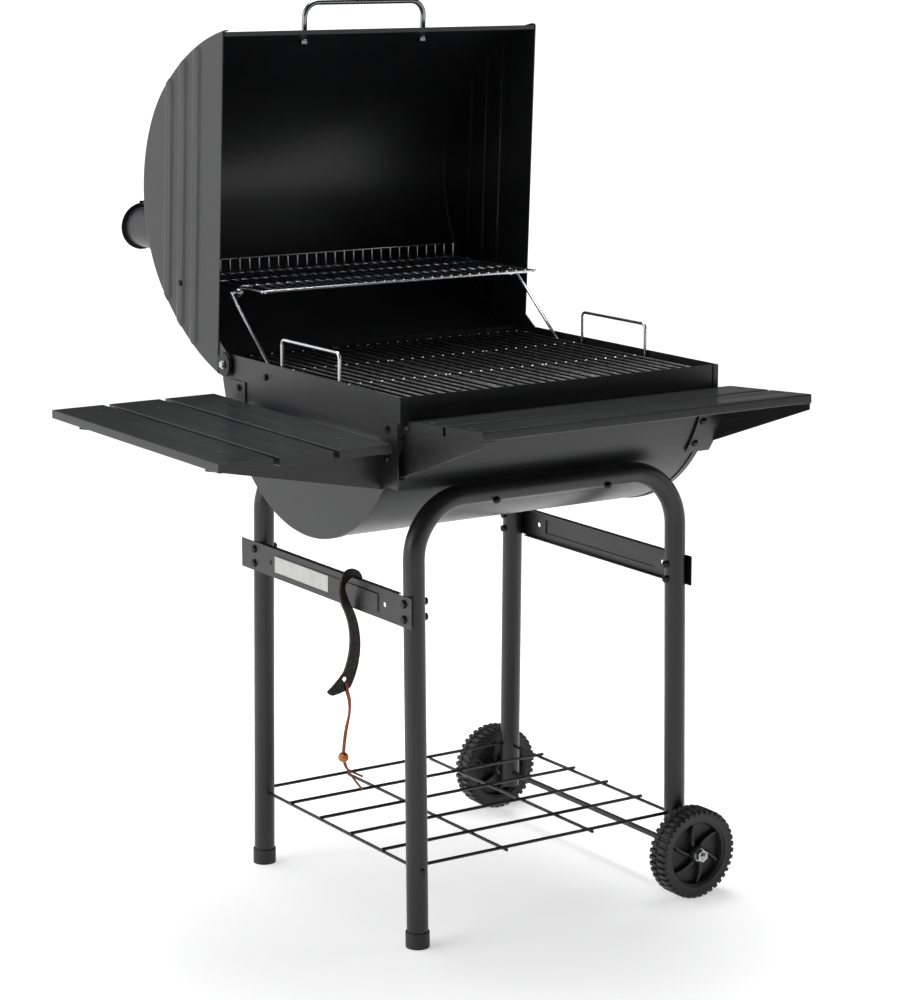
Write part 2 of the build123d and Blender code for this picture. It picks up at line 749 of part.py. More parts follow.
def make_front_bracket(side):
    """A tapered arm under the front boards and a curved foot that follows the barrel."""
    x = front_board_left if side < 0 else front_board_right - bracket_sheet
    far = front_board_span(front_boards - 1)[0] + 3
    near = -half_width - front_shelf_gap
    top = front_shelf_level - board_thickness - seat_gap
    radius = bowl_radius + 0.3
    low_z = top - front_bracket_depth
    low_y = -math.sqrt(radius**2 - (bowl_centre_z - low_z) ** 2)
    high_y = -math.sqrt(radius**2 - (bowl_centre_z - top) ** 2)
    middle = bowl_point(0, math.degrees(math.asin((bowl_centre_z - (low_z + top) / 2) / radius)), radius)
    tilt = math.radians(front_shelf_tilt)
    rise = (near - far) * math.sin(tilt)
    outline = Polyline((high_y, top), (near, top), (far, top + rise), (far, top + rise - 10), (low_y, low_z))
    outline += ThreePointArc((low_y, low_z), (middle[1], middle[2]), (high_y, top))
    arm = plate(make_face(outline), x, bracket_sheet)
    flange_left = x if side < 0 else x + bracket_sheet - bracket_flange
    flange_x = (flange_left, flange_left + bracket_flange)
    flange = block(flange_x, (far, near), (top - bracket_sheet, top))
    arm += front_tilt() * flange
    foot_x = (x, x + 24) if side < 0 else (half_length - end_flange - 18, x + bracket_sheet)
    foot = plate(arc_band(radius, radius + bracket_sheet, 17, 37), foot_x[0], foot_x[1] - foot_x[0])
    arm += foot
    for bolt_x, angle in front_bolt_places(side):
        ends = [bowl_point(bolt_x, angle, radius + reach) for reach in (-20, 20)]
        arm -= rod(ends[0], ends[1], bracket_bolt + 0.6)
    for i in range(front_boards):
        y = sum(front_board_span(i)) / 2
        hole = rod((front_screw_x(side), y, top - 8), (front_screw_x(side), y, top + 2), board_screw + 0.4)
        arm -= front_tilt() * hole
    return arm


def arc_band(inner, outer, start, end):
    """A strip of the barrel's front, between two radii and two angles below level."""
    near = [bowl_point(0, a, inner)[1:] for a in (start, (start + end) / 2, end)]
    away = [bowl_point(0, a, outer)[1:] for a in (end, (start + end) / 2, start)]
    edges = ThreePointArc(*near) + Line(near[2], away[0]) + ThreePointArc(*away) + Line(away[2], near[0])
    return make_face(edges)


def drill_front_bolts(piece):
    for side in (-1, 1):
        for x, angle in front_bolt_places(side):
            ends = [bowl_point(x, angle, bowl_radius + reach) for reach in (-20, 20)]
            piece -= rod(ends[0], ends[1], bracket_bolt + 0.6)
    return piece


def make_board_screws():
    pieces = []
    for side in (-1, 1):
        for i in range(side_boards):
            x = sum(side_board_span(i)) / 2
            pieces += board_screw_set((x, side_screw_y(side), side_shelf_level), Vector(0, 0, -1))
        for i in range(front_boards):
            y = sum(front_board_span(i)) / 2
            screws = board_screw_set((front_screw_x(side), y, front_shelf_level), Vector(0, 0, -1))
            pieces += [front_tilt() * screw for screw in screws]
    return pieces


def make_bracket_bolts():
    pieces = []
    for side in (-1, 1):
        for y, z in side_bracket_bolt_places(side):
            seat = (-half_length - 0.2 - bracket_sheet - 0.1, y, z)
            pieces += bolt_and_nut(seat, (1, 0, 0), bracket_bolt, bracket_sheet + sheet + 0.4, 12, 10)
        for x, angle in front_bolt_places(side):
            seat = Vector(*bowl_point(x, angle, bowl_radius + 0.3 + bracket_sheet + 0.1))
            inward = Vector(0, 0, bowl_centre_z) - Vector(0, seat.Y, seat.Z)
            grip = bracket_sheet + barrel_inside + 0.5
            pieces += bolt_and_nut(seat, inward, bracket_bolt, grip, 12, 10)
    return pieces


# ------------------------------------------------------------------ lid, modelled shut and swung open
def lid_arcs():
    """Radius and centre height of the top arc, then radius and centre of the right-hand flank's arc."""
    top_radius = lid_roundness * lid_half
    centre = lid_height - top_radius
    turn = math.radians(lid_flank_start)
    excess = (lid_half**2 + centre**2 - top_radius**2) / (
        2 * (top_radius - lid_half * math.sin(turn) + centre * math.cos(turn))
    )
    flank = (-excess * math.sin(turn), centre - excess * math.cos(turn))
    return top_radius, centre, excess + top_radius, flank


def lid_outline(inset, extra=0.0):
    """The lid's arch: a rounder top, two flatter flanks, and a straight edge at the bottom."""
    top_radius, centre, flank_radius, flank = lid_arcs()
    turn = math.radians(lid_flank_start)
    top_radius -= inset
    flank_radius -= inset
    joint = (top_radius * math.sin(turn), centre + top_radius * math.cos(turn))
    foot = flank[0] + math.sqrt(flank_radius**2 - (flank[1] + extra) ** 2)
    half_turn = (turn + math.atan2(foot - flank[0], -extra - flank[1])) / 2
    middle = (flank[0] + flank_radius * math.sin(half_turn), flank[1] + flank_radius * math.cos(half_turn))
    at = lambda point, side: (lid_y + side * point[0], lid_edge + point[1])
    edges = ThreePointArc(at((foot, -extra), -1), at(middle, -1), at(joint, -1))
    edges += ThreePointArc(at(joint, -1), (lid_y, lid_edge + lid_height - inset), at(joint, 1))
    edges += ThreePointArc(at(joint, 1), at(middle, 1), at((foot, -extra), 1))
    edges += Line(at((foot, -extra), 1), at((foot, -extra), -1))
    return make_face(edges)


def make_lid_shell():
    reach = lid_end_x - shell_inset
    shell = plate(lid_outline(shell_inset), -reach, 2 * reach)
    shell -= plate(lid_outline(barrel_inside, 0.01), -reach, 2 * reach)
    front = lid_y - lid_half + barrel_inside
    hem = block((-reach, reach), (front - 1.2, front + 5.5), (lid_edge, lid_edge + 1.5))
    hem += block((-reach, reach), (front + 4, front + 5.5), (lid_edge, lid_edge + lid_hem))
    shell += hem
    shell -= rod((chimney_x, chimney_y, lid_edge), (chimney_x, chimney_y, lid_edge + lid_height + 20),
                 chimney_bore + 2 * chimney_wall + 0.4)
    for side in (-1, 1):
        start, end = handle_line(side, -20), handle_line(side, 20)
        shell -= rod(start, end, handle_rod + 0.4)
    return lid_swing * shell


def handle_line(side, out):
    """A point on a handle leg's axis, out from the lid's face."""
    return (side * handle_span / 2, handle_face_y() - out, lid_edge + handle_rise)


def handle_face_y():
    """Y of the shell's outside at the height of the handle's feet, on the front flank."""
    _, _, radius, flank = lid_arcs()
    return lid_y - flank[0] - math.sqrt((radius - shell_inset) ** 2 - (handle_rise - flank[1]) ** 2)


def ear_outline():
    """Carries the hinge below the lid's edge."""
    round_part = Pos(hinge_y, hinge_z) * Circle(ear_radius)
    reach = lid_y + lid_half - 1.0
    web = Polyline((hinge_y - ear_radius * 1.7, lid_edge + 2), (hinge_y - ear_radius, hinge_z),
                   (hinge_y, hinge_z - ear_radius * 0.5), (reach, hinge_z), (reach, lid_edge + 2), close=True)
    return round_part + make_face(web)


def make_lid_end(side):
    """An end plate with its wrapped flange, three pressed ribs and the hinge ear."""
    x = -lid_end_x
    end = plate(lid_outline(0), x, end_flange)
    end -= plate(lid_outline(sheet, 1.0), x + sheet, end_flange)
    end += plate(ear_outline(), x, sheet)
    for height, half in rib_places:
        rib = Pos(lid_y, lid_edge + height) * SlotOverall(2 * half, rib_width)
        inner = Pos(lid_y, lid_edge + height) * SlotOverall(2 * half - 3, rib_width - 3)
        pocket = Pos(lid_y, lid_edge + height) * SlotOverall(2 * half - 7, rib_width - 7)
        end += plate(rib, x - rib_rise * 0.6, rib_rise * 0.6 + 0.2)
        end += plate(inner, x - rib_rise, rib_rise)
        end -= plate(pocket, x - rib_rise + sheet, rib_rise + 1)
    end -= rod((x - 5, hinge_y, hinge_z), (x + 5, hinge_y, hinge_z), hinge_bolt + 2 * pin_fit)
    y, z = rack_pivot_shut()
    end -= rod((x - 5, y, z), (x + 5, y, z), pivot_bolt + 0.3)
    end = end if side < 0 else mirror(end, about=Plane.YZ)
    return lid_swing * end


def rack_pivot_shut():
    """The rack's pivot on the lid end, with the lid shut."""
    a = math.radians(open_angle)
    y = link_y * math.cos(a) - link_z * math.sin(a)
    z = link_y * math.sin(a) + link_z * math.cos(a)
    return hinge_y + y, hinge_z + z


def make_lid_handle():
    """A bent bar, threaded at both feet, standing off the front of the lid."""
    out = handle_reach
    points = [handle_line(-1, -6), handle_line(-1, out), handle_line(1, out), handle_line(1, -6)]
    return lid_swing * wire(points, handle_rod, handle_corner)


def make_handle_collars():
    """A collar outside and a nut inside at each foot of the handle."""
    pieces = []
    outside = plate(lid_outline(shell_inset - 0.1), -handle_span, 2 * handle_span)
    inside = plate(lid_outline(barrel_inside + 0.1), -handle_span, 2 * handle_span)
    for side in (-1, 1):
        pieces.append(pipe(handle_line(side, -2), handle_line(side, 7), 17, handle_rod + 0.1) - outside)
        pieces.append(nut(handle_line(side, -sheet), (0, 1, 0), handle_rod, 14, 5.5) & inside)
    return [lid_swing * piece for piece in pieces]


# ------------------------------------------------------------------ chimney
def make_chimney_pipe():
    top = lid_edge + chimney_length
    bottom = lid_edge + 196
    bore = chimney_bore
    ends = [(chimney_x, chimney_y, z) for z in (bottom, top)]
    stack = pipe(ends[0], ends[1], bore + 2 * chimney_wall, bore)
    inside = plate(lid_outline(barrel_inside + 3), chimney_x - 60, 120)
    stack = stack - inside
    ear_y = (chimney_y - bore / 2 - 11, chimney_y - bore / 2 - 0.6)
    ear = block((chimney_x - 7, chimney_x + 7), ear_y, (top - 1.5, top))
    stack = stack + ear
    stack -= rod((chimney_x, cap_pivot_y(), top - 4), (chimney_x, cap_pivot_y(), top + 1), 4.2)
    return lid_swing * stack


def cap_pivot_y():
    return chimney_y - chimney_bore / 2 - 6.5


def make_chimney_flange():
    """A saddle collar that follows the lid round the foot of the pipe."""
    band = plate(lid_outline(shell_inset - 0.2 - sheet), chimney_x - 60, 120)
    band -= plate(lid_outline(shell_inset - 0.2), chimney_x - 60, 120)
    column = rod((chimney_x, chimney_y, lid_edge + 150), (chimney_x, chimney_y, lid_edge + 300),
                 chimney_flange)
    collar_bottom = lid_edge + 190
    collar = rod((chimney_x, chimney_y, collar_bottom), (chimney_x, chimney_y, lid_edge + lid_height + 8),
                 chimney_bore + 2 * chimney_wall + 4)
    collar -= plate(lid_outline(shell_inset - 0.2), chimney_x - 60, 120)
    flange = (band & column) + collar
    flange -= rod((chimney_x, chimney_y, lid_edge), (chimney_x, chimney_y, lid_edge + 400),
                  chimney_bore + 2 * chimney_wall + 0.3)
    return lid_swing * flange


def make_chimney_cap():
    """A flat cap that swivels off the pipe on its rivet."""
    low = lid_edge + chimney_length + cap_gap
    cap = rod((chimney_x, chimney_y, low), (chimney_x, chimney_y, low + 1.5), cap_diameter)
    cap_rear = chimney_y + cap_diameter / 2
    tab_x = (chimney_x - 6, chimney_x + 6)
    cap += block(tab_x, (cap_rear - 3, cap_rear), (low, low + 9))
    cap -= rod((chimney_x, cap_pivot_y(), low - 1), (chimney_x, cap_pivot_y(), low + 3), 4 + 2 * pin_fit)
    return lid_swing * cap


def make_cap_rivet():
    seat = (chimney_x, cap_pivot_y(), lid_edge + chimney_length + cap_gap + 1.6)
    rivet = bolt(seat, (0, 0, -1), 4, 1.6 + cap_gap + 1.6, 8, 2)
    low = lid_edge + chimney_length - 1.6
    tail = rod((chimney_x, cap_pivot_y(), low), (chimney_x, cap_pivot_y(), low - 1.5), 7)
    return lid_swing * (rivet + tail)


# ------------------------------------------------------------------ hinge and warming rack
def make_hinge_bolts():
    pieces = []
    for side in (-1, 1):
        seat = (side * (lid_end_x + 2.3), hinge_y, hinge_z)
        grip = lid_end_x + 2.3 - half_length + sheet
        pieces += bolt_and_nut(seat, (-side, 0, 0), hinge_bolt, grip, 14, 13)
    return pieces


def make_hinge_washers():
    """A broad dished washer outside each lid ear and a spacer behind it."""
    pieces = []
    for side in (-1, 1):
        face = side * (lid_end_x + 0.15)
        broad = pipe((face, hinge_y, hinge_z), (face + side * 2.0, hinge_y, hinge_z),
                     hinge_washer, hinge_bolt + 0.2)
        gap = (side * (half_length + 0.1), side * (half_length + lid_side_gap - 0.2))
        spacer = pipe((gap[0], hinge_y, hinge_z), (gap[1], hinge_y, hinge_z), 18, hinge_bolt + 0.2)
        pieces += [broad, spacer]
    return pieces


def make_strut_bolts():
    """The fixed pivots of the struts, through the barrel ends."""
    pieces = []
    for side in (-1, 1):
        seat = (side * (half_length + 0.1), strut_pivot_y, strut_pivot_z)
        length = half_length + 0.1 - strut_x + link_wire / 2 + 3
        pin = bolt(seat, (-side, 0, 0), pivot_bolt, length, 11, 4)
        tail = strut_x - strut_eye / 2 - 0.4
        ends = [(side * x, strut_pivot_y, strut_pivot_z) for x in (tail, tail - 2)]
        pin += rod(ends[0], ends[1], 9)
        pieces.append(pin)
    return pieces


def make_rack_struts():
    """A wire link each side: an eye on the barrel's pivot, a bent pin through the rack's eye."""
    base = Vector(0, strut_pivot_y, strut_pivot_z)
    along = Vector(0, link_y, link_z)
    unit = along.normalized()
    struts = []
    for side in (-1, 1):
        low = base + unit * 4 + Vector(side * strut_x, 0, 0)
        high = base + along + Vector(side * strut_x, 0, 0)
        tip = Vector(side * (rack_half_length - 4), high.Y, high.Z)
        corner = Pos(*high) * Sphere(link_wire / 2)
        link = rod(low, high, link_wire) + corner + rod(high, tip, link_wire)
        eye = [(side * (strut_x + s * strut_eye / 2), strut_pivot_y, strut_pivot_z) for s in (-1, 1)]
        link = link + rod(eye[0], eye[1], 13)
        link -= rod((side * (strut_x - 5), base.Y, base.Z), (side * (strut_x + 5), base.Y, base.Z),
                    pivot_bolt + 2 * pin_fit)
        struts.append(link)
    return struts


def make_rack_bolts():
    """The rack's pivots, through the lid ends."""
    y, z = hinge_y + link_y, hinge_z + link_z
    pieces = []
    for side in (-1, 1):
        seat = (side * (lid_end_x + rib_rise + 0.1), y, z)
        length = seat[0] * side - rack_half_length - 3
        pin = bolt(seat, (-side, 0, 0), pivot_bolt, length, 11, 4)
        collar = rack_half_length + link_wire + 6.5
        pin += rod((side * collar, y, z), (side * (collar + 2), y, z), 9)
        pieces.append(pin)
    return pieces


def make_warming_rack():
    reach = rack_half_length
    front, rear, level = rack_front_y, rack_rear_y, rack_level
    bars = []
    for y in (front, rear):
        tip = reach + 5
        bars.append(rod((-tip, y, level), (tip, y, level), link_wire))
    bars.append(rod((-reach, rear, level + rack_fence), (reach, rear, level + rack_fence), rack_wire))
    for i in (1, 2):
        y = front + (rear - front) * i / 3
        bars.append(rod((-reach, y, level), (reach, y, level), 4))
    for i in range(rack_wires):
        x = -reach + 2 * reach * i / (rack_wires - 1)
        outer = i in (0, rack_wires - 1)
        size = rack_side_wire if outer else rack_wire
        lift = 0 if outer else rack_wire_lift
        bars.append(rod((x, front, level + lift), (x, rear, level + lift), size))
        bars.append(rod((x, rear, level), (x, rear, level + rack_fence), rack_wire))
    pivots = [(strut_pivot_y + link_y, strut_pivot_z + link_z), (hinge_y + link_y, hinge_z + link_z)]
    for side in (-1, 1):
        for y, z in pivots:
            ends = [(side * x, y, z) for x in (reach + 1, reach + 8)]
            bars.append(rod(ends[0], ends[1], rack_eye))
    rack = bars[0].fuse(*bars[1:])
    for side in (-1, 1):
        for (y, z), gap in zip(pivots, (pin_clearance, pin_fit)):
            rack -= rod((side * (reach - 6), y, z), (side * (reach + 10), y, z), link_wire + 2 * gap)
    return rack


# ------------------------------------------------------------------ hook tool and its lanyard
def make_hook_tool():
    """A flat bar bent into a hook over the brace's top lip, with a bowed handle and a hole near its end."""
    face, top = tool_corner()
    at = lambda x, z: (-face + x, top + z)
    outline = ThreePointArc(at(-hook_rest, -46), at(11.9, -115), at(-5, -166))
    outline += ThreePointArc(at(-5, -166), at(-18, -171.5), at(-31, -174))
    outline += ThreePointArc(at(-31, -174), at(-40, -173), at(-44, -168))
    outline += ThreePointArc(at(-44, -168), at(-28, -155), at(-15, -141))
    outline += ThreePointArc(at(-15, -141), at(-4.9, -104), at(-15, -47))
    outline += ThreePointArc(at(-15, -47), at(-22.5, -24), at(-20, -3))
    outline += ThreePointArc(at(-20, -3), at(-3, 13.5), at(15.5, 2))
    outline += ThreePointArc(at(15.5, 2), at(16.8, -4), at(15.6, -10))
    outline += Line(at(15.6, -10), at(12.9, -9))
    outline += Line(at(12.9, -9), at(12.9, -2))
    outline += ThreePointArc(at(12.9, -2), at(12.2, -0.6), at(10.5, 0))
    outline += Line(at(10.5, 0), at(-2, 0))
    outline += ThreePointArc(at(-2, 0), at(-11.5, -8), at(-11, -22))
    outline += ThreePointArc(at(-11, -22), at(-6.5, -34), at(-hook_rest, -46))
    tool = Plane.XZ * make_face(outline)
    tool = Pos(0, tool_y, 0) * extrude(tool, tool_thickness / 2, both=True)
    x, z = tool_hole()
    return tool - rod((x, tool_y - 10, z), (x, tool_y + 10, z), 9)


def tool_corner():
    """How far out the brace's panel stands from the middle, and the height of the hook's throat."""
    return leg_x + tube / 2 + 0.2 + sheet + brace_rise, brace_level + brace_height / 2 + hook_gap


def tool_hole():
    face, top = tool_corner()
    return -face - 15.0, top - 153.0


def lanyard_route(side):
    """A leather strand from the tool's hole through the bead to its tail; side is -1 in front, 1 behind."""
    x, z = tool_hole()
    y = tool_y
    bow = 3 if side > 0 else 0
    tail = ((13, -153, -3), (27, -172, -6)) if side < 0 else ((18, -147, 4), (36, -157, 8))
    points = [(0, 5.2, -3), (3 + bow, 6.5, -17), (8 + bow, 5, -33), (8 + bow, 2.6, -53), (3, 1.9, -76)]
    points += [(-1, 1.75, -102), (-2, 1.75, -120), (3, 1.9, -138)]
    strand = [(x + dx, y + side * dy, z + dz) for dx, dy, dz in points]
    return strand + [(x + dx, y + dy, z + dz) for dx, dz, dy in tail]


def corner_radii(points):
    """The largest arc each corner allows: 0.45 of the shorter run over the tangent of half the turn."""
    radii = []
    for before, here, after in zip(points, points[1:], points[2:]):
        run_in = Vector(here) - Vector(before)
        run_out = Vector(after) - Vector(here)
        turn = math.radians(run_in.get_angle(run_out))
        radii.append(0.45 * min(run_in.length, run_out.length) / math.tan(turn / 2))
    return radii


def make_lanyard(side):
    points = lanyard_route(side)
    radii = corner_radii(points)
    print("lanyard radii", [round(radius, 1) for radius in radii])
    path = FilletPolyline(*points, radius=radii)
    return sweep(Plane(origin=path @ 0, z_dir=path % 0) * Circle(lanyard / 2), path=path)


def make_bead():
    """A turned wooden bead with both strands through its bore."""
    x, z = tool_hole()
    centre = Vector(x - 2, tool_y, z - 119)
    ends = [(centre.X, centre.Y, centre.Z + dz) for dz in (-12, 12)]
    return Pos(*centre) * Sphere(bead_diameter / 2) - rod(ends[0], ends[1], bead_bore)


# ------------------------------------------------------------------ nodes
def build_nodes():
    nodes["barrel_shell"] = drill_front_bolts(make_barrel_shell())
    nodes["barrel_end_left"] = make_barrel_end(-1)
    nodes["barrel_end_right"] = drill_front_bolts(make_barrel_end(1))
    nodes["grate_rails"] = make_grate_rails()
    nodes["air_damper"] = make_air_damper()
    nodes["damper_rivet"] = make_damper_rivet()
    for i, name in enumerate(("left", "middle", "right")):
        nodes["cooking_grate_" + name] = make_cooking_grate(i)
    nodes["charcoal_tray"] = make_charcoal_tray()
    nodes["tray_lift_handles"] = make_lift_handles()
    for end, front in (("front", True), ("rear", False)):
        nodes[end + "_frame_left"] = make_frame_half(front, True)
        nodes[end + "_frame_right"] = make_frame_half(front, False)
    nodes["frame_sleeves"] = make_frame_sleeves()
    nodes["barrel_bolts"] = make_barrel_bolts()
    nodes["foot_caps"] = make_foot_caps()
    nodes["brace_left"] = make_brace(-1)
    nodes["brace_right"] = make_brace(1)
    nodes["brace_bolts"] = make_brace_bolts()
    nodes["brace_label"] = make_brace_label()
    nodes["wire_shelf"] = make_wire_shelf()
    nodes["wire_shelf_screws"] = make_shelf_screws()
    nodes["axle"] = make_axle()
    nodes["axle_nuts_and_washers"] = make_axle_fasteners()
    nodes["front_wheel"] = make_wheel(-1)
    nodes["rear_wheel"] = make_wheel(1)
    for i, name in enumerate(("outer", "middle", "inner")):
        nodes["side_board_" + name] = make_side_board(i)
    for side, name in ((-1, "front"), (1, "rear")):
        nodes["side_bracket_" + name] = make_side_bracket(side)
    for i, name in enumerate(("inner", "outer")):
        nodes["front_board_" + name] = make_front_board(i)
    for side, name in ((-1, "left"), (1, "right")):
        nodes["front_bracket_" + name] = make_front_bracket(side)
    nodes["board_screws"] = make_board_screws()
    nodes["bracket_bolts"] = make_bracket_bolts()
    nodes["lid_shell"] = make_lid_shell()
    nodes["lid_end_left"] = make_lid_end(-1)
    nodes["lid_end_right"] = make_lid_end(1)
    nodes["lid_handle"] = make_lid_handle()
    nodes["lid_handle_collars"] = make_handle_collars()
    nodes["chimney_pipe"] = make_chimney_pipe()
    nodes["chimney_flange"] = make_chimney_flange()
    nodes["chimney_cap"] = make_chimney_cap()
    nodes["chimney_cap_rivet"] = make_cap_rivet()
    nodes["hinge_bolts"] = make_hinge_bolts()
    nodes["hinge_washers"] = make_hinge_washers()
    nodes["strut_bolts"] = make_strut_bolts()
    nodes["rack_struts"] = make_rack_struts()
    nodes["rack_bolts"] = make_rack_bolts()
    nodes["warming_rack"] = make_warming_rack()
    nodes["hook_tool"] = make_hook_tool()
    nodes["lanyard_front"] = make_lanyard(-1)
    nodes["lanyard_rear"] = make_lanyard(1)
    nodes["lanyard_bead"] = make_bead()


def as_solids(shape):
    """The separate solids of a shape or of a list of shapes."""
    if isinstance(shape, (list, tuple)):
        return [solid for item in shape for solid in as_solids(item)]
    return list(shape.solids())


cord_nodes = ("lanyard_front", "lanyard_rear", "lanyard_bead")


def stand_origin():
    """The middle of the object's footprint on the floor."""
    rigid = [shape for name, shape in nodes.items() if name not in cord_nodes]
    boxes = [Compound(as_solids(shape)).bounding_box() for shape in rigid]
    low_x, high_x = min(box.min.X for box in boxes), max(box.max.X for box in boxes)
    low_y, high_y = min(box.min.Y for box in boxes), max(box.max.Y for box in boxes)
    low_z = min(box.min.Z for box in boxes)
    return Vector((low_x + high_x) / 2, (low_y + high_y) / 2, low_z)


build_nodes()
origin = stand_origin()
os.makedirs("parts", exist_ok=True)
for name, shape in nodes.items():
    solids = [Pos(*(-1 * origin)) * solid for solid in as_solids(shape)]
    export_step(solids[0] if len(solids) == 1 else Compound(children=solids), "parts/" + name + ".step")
print("origin", [round(value, 3) for value in origin], len(nodes), "nodes")
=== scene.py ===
import bmesh
import bpy
import json
import math
import numpy as np
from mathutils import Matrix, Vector

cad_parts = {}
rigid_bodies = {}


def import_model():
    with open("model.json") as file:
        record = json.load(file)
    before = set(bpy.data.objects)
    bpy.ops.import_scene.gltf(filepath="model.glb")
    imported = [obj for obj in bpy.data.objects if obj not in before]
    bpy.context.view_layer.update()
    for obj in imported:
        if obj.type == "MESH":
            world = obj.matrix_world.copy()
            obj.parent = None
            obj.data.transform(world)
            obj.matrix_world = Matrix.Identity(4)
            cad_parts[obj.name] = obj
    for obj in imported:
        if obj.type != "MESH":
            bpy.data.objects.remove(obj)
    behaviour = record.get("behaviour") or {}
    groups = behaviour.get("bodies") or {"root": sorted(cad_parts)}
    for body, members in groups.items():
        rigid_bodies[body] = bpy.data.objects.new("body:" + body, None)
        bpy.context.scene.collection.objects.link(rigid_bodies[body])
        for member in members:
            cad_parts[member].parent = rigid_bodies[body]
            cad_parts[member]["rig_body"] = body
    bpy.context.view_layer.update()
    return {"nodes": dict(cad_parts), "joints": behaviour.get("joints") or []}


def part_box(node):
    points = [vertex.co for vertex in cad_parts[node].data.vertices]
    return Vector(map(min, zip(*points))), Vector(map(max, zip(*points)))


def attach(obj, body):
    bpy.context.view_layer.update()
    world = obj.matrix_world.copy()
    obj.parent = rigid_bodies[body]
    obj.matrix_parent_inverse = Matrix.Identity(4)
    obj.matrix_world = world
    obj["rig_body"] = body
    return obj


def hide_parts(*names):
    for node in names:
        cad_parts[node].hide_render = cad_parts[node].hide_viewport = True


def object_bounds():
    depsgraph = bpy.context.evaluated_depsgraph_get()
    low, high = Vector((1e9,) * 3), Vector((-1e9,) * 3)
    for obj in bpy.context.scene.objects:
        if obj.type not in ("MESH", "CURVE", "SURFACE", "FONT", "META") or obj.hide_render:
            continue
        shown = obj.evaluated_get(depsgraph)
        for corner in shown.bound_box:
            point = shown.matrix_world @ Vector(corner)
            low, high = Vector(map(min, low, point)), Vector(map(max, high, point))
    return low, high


# Barrel charcoal grill with its lid open: satin black sheet steel, black boards, chrome wire.
# Metres. X runs along the barrel, the user stands at -Y, Z is up.

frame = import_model()
print("frame loaded,", len(frame["nodes"]), "nodes")

# camera first: a long lens in front and to the left, looking slightly down
cameraSettings = {"place": (-2.241, -3.701, 1.4825), "azimuth": 33.16, "down": 8.31, "lens": 102.0,
                  "shiftY": -0.16}


def aimCamera(settings):
    data = bpy.data.cameras.new("camera")
    data.lens = settings["lens"]
    data.sensor_width = 36
    data.shift_y = settings["shiftY"]
    data.clip_end = 60
    camera = bpy.data.objects.new("camera", data)
    camera.location = settings["place"]
    camera.rotation_euler = (math.radians(90 - settings["down"]), 0, math.radians(-settings["azimuth"]))
    bpy.context.scene.collection.objects.link(camera)
    bpy.context.scene.camera = camera


aimCamera(cameraSettings)
print("camera placed")


# small helpers
def linear(hexCode):
    # sRGB hex to linear RGBA: v/12.92 below 0.04045, else ((v + 0.055)/1.055) to the 2.4
    values = [int(hexCode[i:i + 2], 16) / 255 for i in (1, 3, 5)]
    return [v / 12.92 if v <= 0.04045 else ((v + 0.055) / 1.055) ** 2.4 for v in values] + [1.0]


def addNode(tree, kind, settings=None, links=None):
    # one shader node; settings fill its properties or sockets, links join sockets to other nodes' outputs
    node = tree.nodes.new("ShaderNode" + kind)
    for key, value in (settings or {}).items():
        if isinstance(key, str) and hasattr(node, key):
            setattr(node, key, value)
        else:
            node.inputs[key].default_value = value
    for key, source in (links or {}).items():
        tree.links.new(source, node.inputs[key])
    return node


def newMaterial(name, shader):
    material = bpy.data.materials.new(name)
    material.use_nodes = True
    tree = material.node_tree
    tree.nodes.clear()
    surface = addNode(tree, "BsdfPrincipled", shader)
    addNode(tree, "OutputMaterial", links={"Surface": surface.outputs[0]})
    place = addNode(tree, "TexCoord").outputs["Object"]
    return material, tree, surface, place


def perMetre(millimetres):
    # pattern scale for a feature of that size
    return 1000 / millimetres


def ramp(tree, factor, stops):
    # a colour ramp from (position, hex) pairs
    node = addNode(tree, "ValToRGB", links={"Fac": factor})
    elements = node.color_ramp.elements
    while len(elements) < len(stops):
        elements.new(0.5)
    for element, (position, colour) in zip(elements, stops):
        element.position = position
        element.color = linear(colour)
    return node.outputs["Color"]


def spread(tree, factor, low, high):
    # factor from 0..1 to low..high
    return addNode(tree, "MapRange", {"To Min": low, "To Max": high}, {"Value": factor}).outputs[0]


def noise(tree, place, size, detail, roughness=0.5):
    # soft noise with features of that many millimetres
    settings = {"Scale": perMetre(size), "Detail": detail, "Roughness": roughness}
    return addNode(tree, "TexNoise", settings, {"Vector": place}).outputs[0]


def roughen(tree, surface, height, strength, depth):
    # bump of that depth in metres, from the height given
    bump = addNode(tree, "Bump", {"Strength": strength, "Distance": depth}, {"Height": height})
    tree.links.new(bump.outputs[0], surface.inputs["Normal"])


def paint(tree, surface, colour=None, gloss=None):
    # colour and roughness joined to the surface
    for socket, source in (("Base Color", colour), ("Roughness", gloss)):
        if source is not None:
            tree.links.new(source, surface.inputs[socket])


# finishes
def sprayedSteel(name, dark, light, rough, grit):
    # Heat-resistant silicone paint or powder on sheet steel: satin, with a fine orange peel
    # and faint clouds in colour and gloss where the coat is thicker.
    material, tree, surface, place = newMaterial(name, {"Metallic": 0.0, "IOR": 1.5, "Roughness": rough})
    clouds = noise(tree, place, 140, 3.0, 0.6)
    dust = noise(tree, place, 9, 5.0, 0.7)
    paint(tree, surface, ramp(tree, clouds, [(0.35, dark), (0.68, light)]),
          spread(tree, dust, rough - 0.07, rough + 0.07))
    roughen(tree, surface, noise(tree, place, grit, 2.0), 0.12, 0.0002)
    return material


